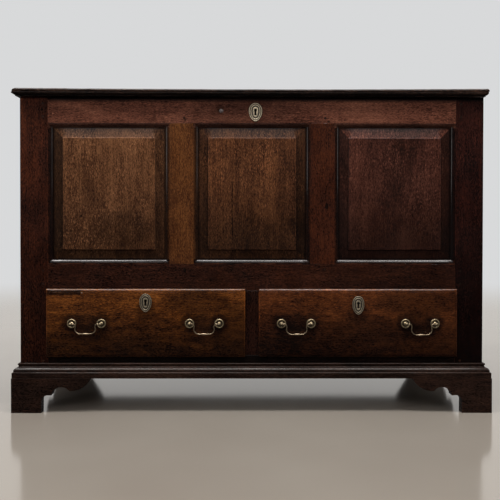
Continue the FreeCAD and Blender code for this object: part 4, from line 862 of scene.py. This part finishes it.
def build_base():
    for i, (word, axis) in enumerate((("front", 0), ("left", 1), ("right", 1))):
        name = "base_moulding_" + word
        worn(name, oak("oak_" + name, "xy"[axis], seed=15 + i, **MOULDING), edge=0.0006,
             pitch=0.1, waver=0.0001, pace=6.0, axes=(axis,))
    for i, word in enumerate(("front_left", "front_right", "rear_left", "rear_right")):
        name = "bracket_foot_" + word
        kind = PALE_FOOT if word == "front_right" else FOOT
        worn(name, oak("oak_" + name, seed=20 + i, **kind), edge=0.0014, pitch=0.015,
             waver=0.0008, axes=(0, 1))


def build_sides():
    for i, word in enumerate(("left", "right")):
        inwards = (0, 1 if word == "left" else -1)
        rails = "side_rails_" + word
        worn(rails, oak("oak_" + rails, "y", seed=30 + i, bare=[inwards], **SIDE), axes=(1,))
        post = "rear_stile_" + word
        worn(post, oak("oak_" + post, "z", seed=32 + i, bare=[inwards, (1, -1)],
                       bare_within=(INNER_POST_X, -1.0), **SIDE), axes=(2,))
        for j, row in enumerate(("upper", "lower")):
            panel = "side_panel_" + row + "_" + word
            worn(panel, oak("oak_" + panel, "z", seed=34 + 2 * i + j, bare=[inwards], **SIDE),
                 edge=0.0005, axes=(1, 2))


DRY_PIECES = {"back_frame": "x", "back_panels": "z", "chest_floor": "y", "drawer_runners": "y",
              "till": "y", "lid_battens": "y", "drawer_sides_left": "y",
              "drawer_sides_right": "y", "drawer_back_left": "x", "drawer_back_right": "x",
              "drawer_bottom_left": "x", "drawer_bottom_right": "x"}


def build_inside():
    for i, (name, grain) in enumerate(DRY_PIECES.items()):
        boards = FLOOR_BOARDS if name == "chest_floor" else None
        worn(name, oak("dry_" + name, grain, seed=50 + i, boards=boards, **DRY_OAK),
             slot="oak_unpolished", pitch=0.08, axes=(0, 1))
    worn("joint_pegs", oak("oak_pegs", "y", seed=70, **PEG), edge=0.0005, waver=0.0003, axes=())


# ------------------------------------------------------------------ handles
# In millimetres. ROSE and NUT are (radius, distance from the face), and the post ends in a ball;
# BAIL is (x, z, radius), from a ball to the bail's middle.
ROSE = [(0.0, 0.4), (13.1, 0.0), (13.2, 0.7), (12.8, 1.9), (12.0, 2.9), (11.0, 3.35), (10.1, 3.2),
        (9.4, 2.5), (8.8, 1.75), (7.6, 1.45), (6.2, 1.45), (5.4, 1.9), (4.9, 3.0), (4.1, 3.9),
        (3.2, 4.7), (2.9, 6.2), (3.1, 8.6), (3.9, 9.8), (4.1, 10.6), (3.7, 11.3), (2.9, 11.9),
        (2.9, 13.6)]
NUT = [(0.0, 0.2), (3.0, 0.0), (7.0, 0.0), (7.0, 3.0), (6.4, 3.8), (3.4, 4.0), (3.2, 5.6),
       (0.0, 5.8)]
BAIL = [(39.3, 0.0, 1.6), (36.2, 0.2, 1.8), (33.6, 0.9, 2.3), (31.2, 0.9, 1.6), (29.0, -0.6, 1.35),
        (27.5, -3.4, 1.25), (26.9, -7.0, 1.2), (27.4, -11.0, 1.2), (27.6, -15.5, 1.2),
        (26.2, -20.5, 1.2), (22.8, -24.8, 1.2), (18.0, -27.4, 1.2), (13.0, -28.4, 1.25),
        (10.6, -28.5, 1.35), (7.2, -28.5, 2.0), (3.6, -28.5, 2.5), (0.0, -28.5, 2.7)]
SAG = {"lefta": 0.90, "leftb": 0.93, "righta": 0.95, "rightb": 1.0}    # each bail's own length
BALL_RADIUS, BALL_CENTRE, BALL_START = 5.0, 18.0, 13.9
MOUNT_SEED = {"left": 3.0, "right": 5.0}


def ball_profile(radius, centre, start, steps=14):
    """The part of a ball beyond `start`, as a profile that ends on the axis."""
    first = math.acos((centre - start) / radius)
    turns = [first + (math.pi - first) * i / steps for i in range(steps)]
    return [(radius * math.sin(a), centre - radius * math.cos(a)) for a in turns] + [
        (0.0, centre + radius)]


def build_mounts(word):
    """A drawer's four roses with their posts and balls, and the nuts behind."""
    mounts = bmesh.new()
    profile = ROSE + ball_profile(BALL_RADIUS, BALL_CENTRE, BALL_START)
    for centre in HANDLES[word].values():
        for side in (-1, 1):
            x = centre + side * POST_HALF
            lathe(mounts, [(r * MM, out * MM) for r, out in profile],
                  (x, DRAWER_FACE_Y, HANDLE_Z))
            lathe(mounts, [(r * MM, -out * MM) for r, out in NUT],
                  (x, DRAWER_BACK_OF_FRONT, HANDLE_Z), 28)
    bmesh.ops.recalc_face_normals(mounts, faces=mounts.faces)
    finish_mesh(mounts, "handle_mounts_" + word + "_cast", "drawer_" + word,
                brass("brass_mounts_" + word, DRAWER_FACE_Y, MOUNT_SEED[word], (156, 139, 108),
                      depth=(0.0020, 0.0032), hollow=(30, 20, 12), crown=(0.006, 0.42)),
                ["handle_mounts_" + word])


def build_handles():
    for word, centres in HANDLES.items():
        build_mounts(word)
        for key, centre in centres.items():
            sag = SAG[word + key]
            half = [(x, z * sag if z < -4 else z, r) for x, z, r in BAIL]
            whole = half + [(-x, z, r) for x, z, r in half[-2::-1]]
            path = [(centre + x * MM, HANDLE_Z + z * MM, r * MM) for x, z, r in catmull(whole, 5)]
            bail = bmesh.new()
            sweep(bail, path)
            name = "handle_bail_" + word + "_" + key
            finish_mesh(bail, name + "_cast", "bail_" + word + "_" + key,
                        brass("brass_" + name, BAIL_FACE_Y, 7.0 + centre * 9, (136, 119, 96)),
                        [name])


# ------------------------------------------------------------------ escutcheons
# (share of the way from the keyhole to the rim, millimetres out from the face)
PLATE = [(0.0, 0.6), (0.02, 1.5), (0.08, 1.8), (0.27, 1.8), (0.33, 1.1), (0.40, 0.8), (0.50, 0.8),
         (0.56, 1.3), (0.61, 1.9), (0.66, 1.9), (0.71, 1.2), (0.76, 0.9), (0.82, 1.0), (0.87, 1.6),
         (0.93, 1.7), (0.98, 1.2), (1.0, 0.7), (1.0, 0.0)]
PLATE_HEIGHT = 51.0
PLATE_POINTS = 144
ESCUTCHEONS = [("chest_escutcheon", "chest", FACE_Y, 37.0, 1.0, (214, 198, 170)),
               ("drawer_escutcheon_left", "left", DRAWER_FACE_Y, 34.0, 2.0, (172, 157, 132)),
               ("drawer_escutcheon_right", "right", DRAWER_FACE_Y, 33.0, 3.0, (182, 167, 142))]


def key_reach(angle):
    """How far the keyhole runs from its centre at an angle, in millimetres."""
    dx, dz = math.cos(angle), math.sin(angle)
    reach = 0.0
    while True:
        x, z = reach * dx, reach * dz
        inside = (math.hypot(x, z - 5.4) < 3.8 or math.hypot(x, z + 5.4) < 3.0
                  or (abs(x) < 2.3 and abs(z) < 5.4))
        if not inside:
            return reach
        reach += 0.05


def plate_outline(width, height, count):
    """Points round an oval plate that is drawn to a soft point below, from the right side up."""
    half, up = width / 2, height * 0.42
    down = height - up
    lift = down - height / 2
    points = []
    for i in range(count):
        a = 2 * math.pi * i / count
        if math.sin(a) >= 0:
            points.append((half * math.cos(a), lift + up * math.sin(a)))
        else:
            s = -math.sin(a)
            wide = half * max(0.0, 1 - s ** 2.2) ** 0.64
            points.append((math.copysign(wide, math.cos(a)), lift - down * s))
    return points


def build_escutcheon(node, centre, face_y, width, seed, tint):
    """A ringed plate round a keyhole, lightly notched along its rim."""
    outline = plate_outline(width, PLATE_HEIGHT, PLATE_POINTS)
    bm = bmesh.new()
    rings = []
    for share, out in PLATE:
        ring = []
        for i, (px, pz) in enumerate(outline):
            angle = math.atan2(pz, px)
            inner = key_reach(angle)
            ix, iz = inner * math.cos(angle), inner * math.sin(angle)
            notch = 0.0
            if 0.80 < share < 0.99:
                notch = 0.22 * math.cos(i * 2 * math.pi / 4 + share * 9)
            ring.append(bm.verts.new((centre[0] + (ix + (px - ix) * share) * MM,
                                      face_y - (out + notch) * MM,
                                      centre[1] + (iz + (pz - iz) * share) * MM)))
        rings.append(ring)
    rings.insert(0, [bm.verts.new((v.co.x, face_y, v.co.z)) for v in rings[0]])
    for near, far in zip(rings, rings[1:] + [rings[0]]):
        for i in range(PLATE_POINTS):
            j = (i + 1) % PLATE_POINTS
            bm.faces.new((near[i], near[j], far[j], far[i]))
    bmesh.ops.remove_doubles(bm, verts=bm.verts, dist=WELD)
    bmesh.ops.recalc_face_normals(bm, faces=bm.faces)
    finish_mesh(bm, node + "_cast", body_of(node),
                brass("brass_" + node, face_y, seed, tint, (0.0012, 0.0017), (16, 12, 8)), [node],
                smooth_angle=60)


def build_metal():
    for node, key, face_y, width, seed, tint in ESCUTCHEONS:
        build_escutcheon(node, KEYHOLES[key], face_y, width, seed, tint)
    black = iron("iron_black", 1.0, (58, 54, 50), 0.55)
    bright = iron("iron_bright", 2.0, (128, 124, 118), 0.38)
    for name in ("lid_hinge_straps", "carcase_hinge_plates", "chest_lock_case", "lid_lock_staple",
                 "drawer_lock_case_left", "drawer_lock_case_right"):
        worn(name, black, slot="wrought_iron", edge=0.0004, pitch=0.02, axes=(0, 1))
    for name in ("chest_lock_bolt", "drawer_lock_bolt_left", "drawer_lock_bolt_right"):
        worn(name, bright, slot="bolt_iron", edge=0.0004, waver=0.0, axes=())


# ------------------------------------------------------------------ floor and background
PALE = srgb(216, 217, 218)
FLOOR_REACH = 30.0
HORIZON = (2.2, 4.2)                # the floor turns into the pale background between these


def build_floor():
    material, g, shader, place = new_material("floor")
    axes = g.split(place)
    far = g.math("SQRT", g.plus(g.times(axes[0], axes[0]), g.times(axes[1], axes[1])))
    cloud = g.noise(place, (1.3, 1.3, 1.3), 3)
    tone = g.ramp(cloud, [(0.3, srgb(150, 141, 131)), (0.7, srgb(160, 152, 142))])
    g.feed(shader.inputs["Base Color"], tone)
    g.feed(shader.inputs["Roughness"], g.span(cloud, 0.3, 0.7, 0.11, 0.14))
    shader.inputs["Specular IOR Level"].default_value = 1.0
    glow = g.add("ShaderNodeEmission")
    glow.inputs[0].default_value = PALE
    blend = g.add("ShaderNodeMixShader")
    g.feed(blend.inputs[0], g.span(far, *HORIZON))
    g.feed(blend.inputs[1], shader.outputs[0])
    g.feed(blend.inputs[2], glow.outputs[0])
    out = next(n for n in material.node_tree.nodes if n.type == "OUTPUT_MATERIAL")
    g.feed(out.inputs["Surface"], blend.outputs[0])
    mesh = bpy.data.meshes.new("floor")
    r = FLOOR_REACH
    mesh.from_pydata([(-r, -r, 0), (r, -r, 0), (r, r, 0), (-r, r, 0)], [], [(0, 1, 2, 3)])
    mesh.materials.append(material)
    floor = add_object("floor", mesh)
    floor.visible_glossy = False


def build_world():
    """Pale to the camera. Glossy rays see a room that is bright behind the chest and dark in
    front of it. What lights the chest beside the lamps is a low even fill."""
    world = bpy.data.worlds.new("studio")
    bpy.context.scene.world = world
    world.use_nodes = True
    tree = world.node_tree
    tree.nodes.clear()
    g = Graph(tree)
    out = g.add("ShaderNodeOutputWorld")
    path = g.add("ShaderNodeLightPath").outputs
    axes = g.split(g.add("ShaderNodeTexCoord").outputs["Generated"])
    lit = g.span(axes[1], -0.88, -0.45)
    up = g.span(axes[2], -0.1, 0.6)
    behind = g.times(g.span(axes[1], 0.2, 0.6), g.span(axes[2], -0.06, 0.0))
    side_room = g.mix(up, srgb(52, 50, 49), srgb(112, 110, 108))
    room = g.mix(lit, (0.003, 0.003, 0.004, 1), side_room)
    room = g.mix(behind, room, (0.86, 0.84, 0.81, 1))
    wall = g.span(axes[1], -0.2, 0.5)
    front_fill = g.mix(up, (0.22, 0.21, 0.205, 1), (0.47, 0.47, 0.47, 1))
    fill = g.mix(wall, front_fill, (0.38, 0.38, 0.38, 1))
    seen = g.largest(path["Is Glossy Ray"], path["Is Transmission Ray"])
    colour = g.mix(path["Is Camera Ray"], g.mix(seen, fill, room), PALE)
    back = g.add("ShaderNodeBackground")
    g.feed(back.inputs[0], colour)
    g.feed(out.inputs[0], back.outputs[0])


def lamp(name, place, target, size, watts, colour):
    data = bpy.data.lights.new(name, "AREA")
    data.shape = "RECTANGLE"
    data.size, data.size_y = size
    data.energy = watts
    data.color = colour
    thing = add_object(name, data)
    thing.location = place
    thing.rotation_euler = (Vector(target) - Vector(place)).to_track_quat("-Z", "Y").to_euler()
    thing.visible_camera = False
    return thing


def build_lights():
    """Soft lamps round the chest. The sheen lamp shows only in the polish, and not on the floor."""
    lamp("key", (-0.1, -0.95, 2.9), (0, -0.25, 0.5), (3.2, 0.4), 76, (1, 0.98, 0.95))
    sheen = lamp("sheen", (-0.1, -1.1, 3.0), (-0.1, -1.1, 0.0), (3.4, 1.6), 107, (1, 0.94, 0.89))
    sheen.visible_diffuse = False
    spared = bpy.data.collections.new("sheen_spares")
    spared.objects.link(bpy.data.objects["floor"])
    spared.collection_objects[0].light_linking.link_state = "EXCLUDE"
    sheen.light_linking.receiver_collection = spared
    lamp("front_high", (0.0, -2.9, 2.0), (0, -0.25, 0.5), (3.6, 0.7), 13, (1, 0.97, 0.94))
    lamp("left", (-2.9, -1.1, 1.5), (0, 0, 0.45), (1.2, 1.6), 10, (1, 0.99, 0.97))
    lamp("right", (2.9, -0.6, 1.5), (0, 0, 0.45), (1.2, 1.6), 8, (1, 0.99, 0.97))
    lamp("behind", (0.3, 2.9, 2.2), (0, 0, 0.4), (2.4, 1.2), 12, (1, 0.98, 0.96))


PHOTO_SIZE = 500                    # the picture's side; it and the next two are in pixels
FOCAL_PX = 711.2
CENTRE_PX = (246.86, 226.2)         # where the camera's axis meets the picture
CAMERA_PLACE = (-0.0271, -2.2059, 0.5354)
CAMERA_TILT = (90 - 0.777, -0.066, -0.376)    # degrees about X, Y and Z


def build_camera():
    """At the height of the chest's panels, almost level, a little left of the middle."""
    data = bpy.data.cameras.new("camera")
    camera = add_object("camera", data)
    bpy.context.scene.camera = camera
    camera.location = CAMERA_PLACE
    camera.rotation_euler = [math.radians(a) for a in CAMERA_TILT]
    data.sensor_width = 36.0
    data.lens = FOCAL_PX / PHOTO_SIZE * data.sensor_width
    data.shift_x = (PHOTO_SIZE / 2 - CENTRE_PX[0]) / PHOTO_SIZE
    data.shift_y = (CENTRE_PX[1] - PHOTO_SIZE / 2) / PHOTO_SIZE
    data.clip_start, data.clip_end = 0.05, 100


build_front()
build_drawers()
build_lid()
build_nails()
build_base()
build_sides()
build_inside()
build_handles()
build_metal()
build_floor()
build_world()
build_lights()
build_camera()
bpy.context.scene.view_settings.view_transform = "Standard"
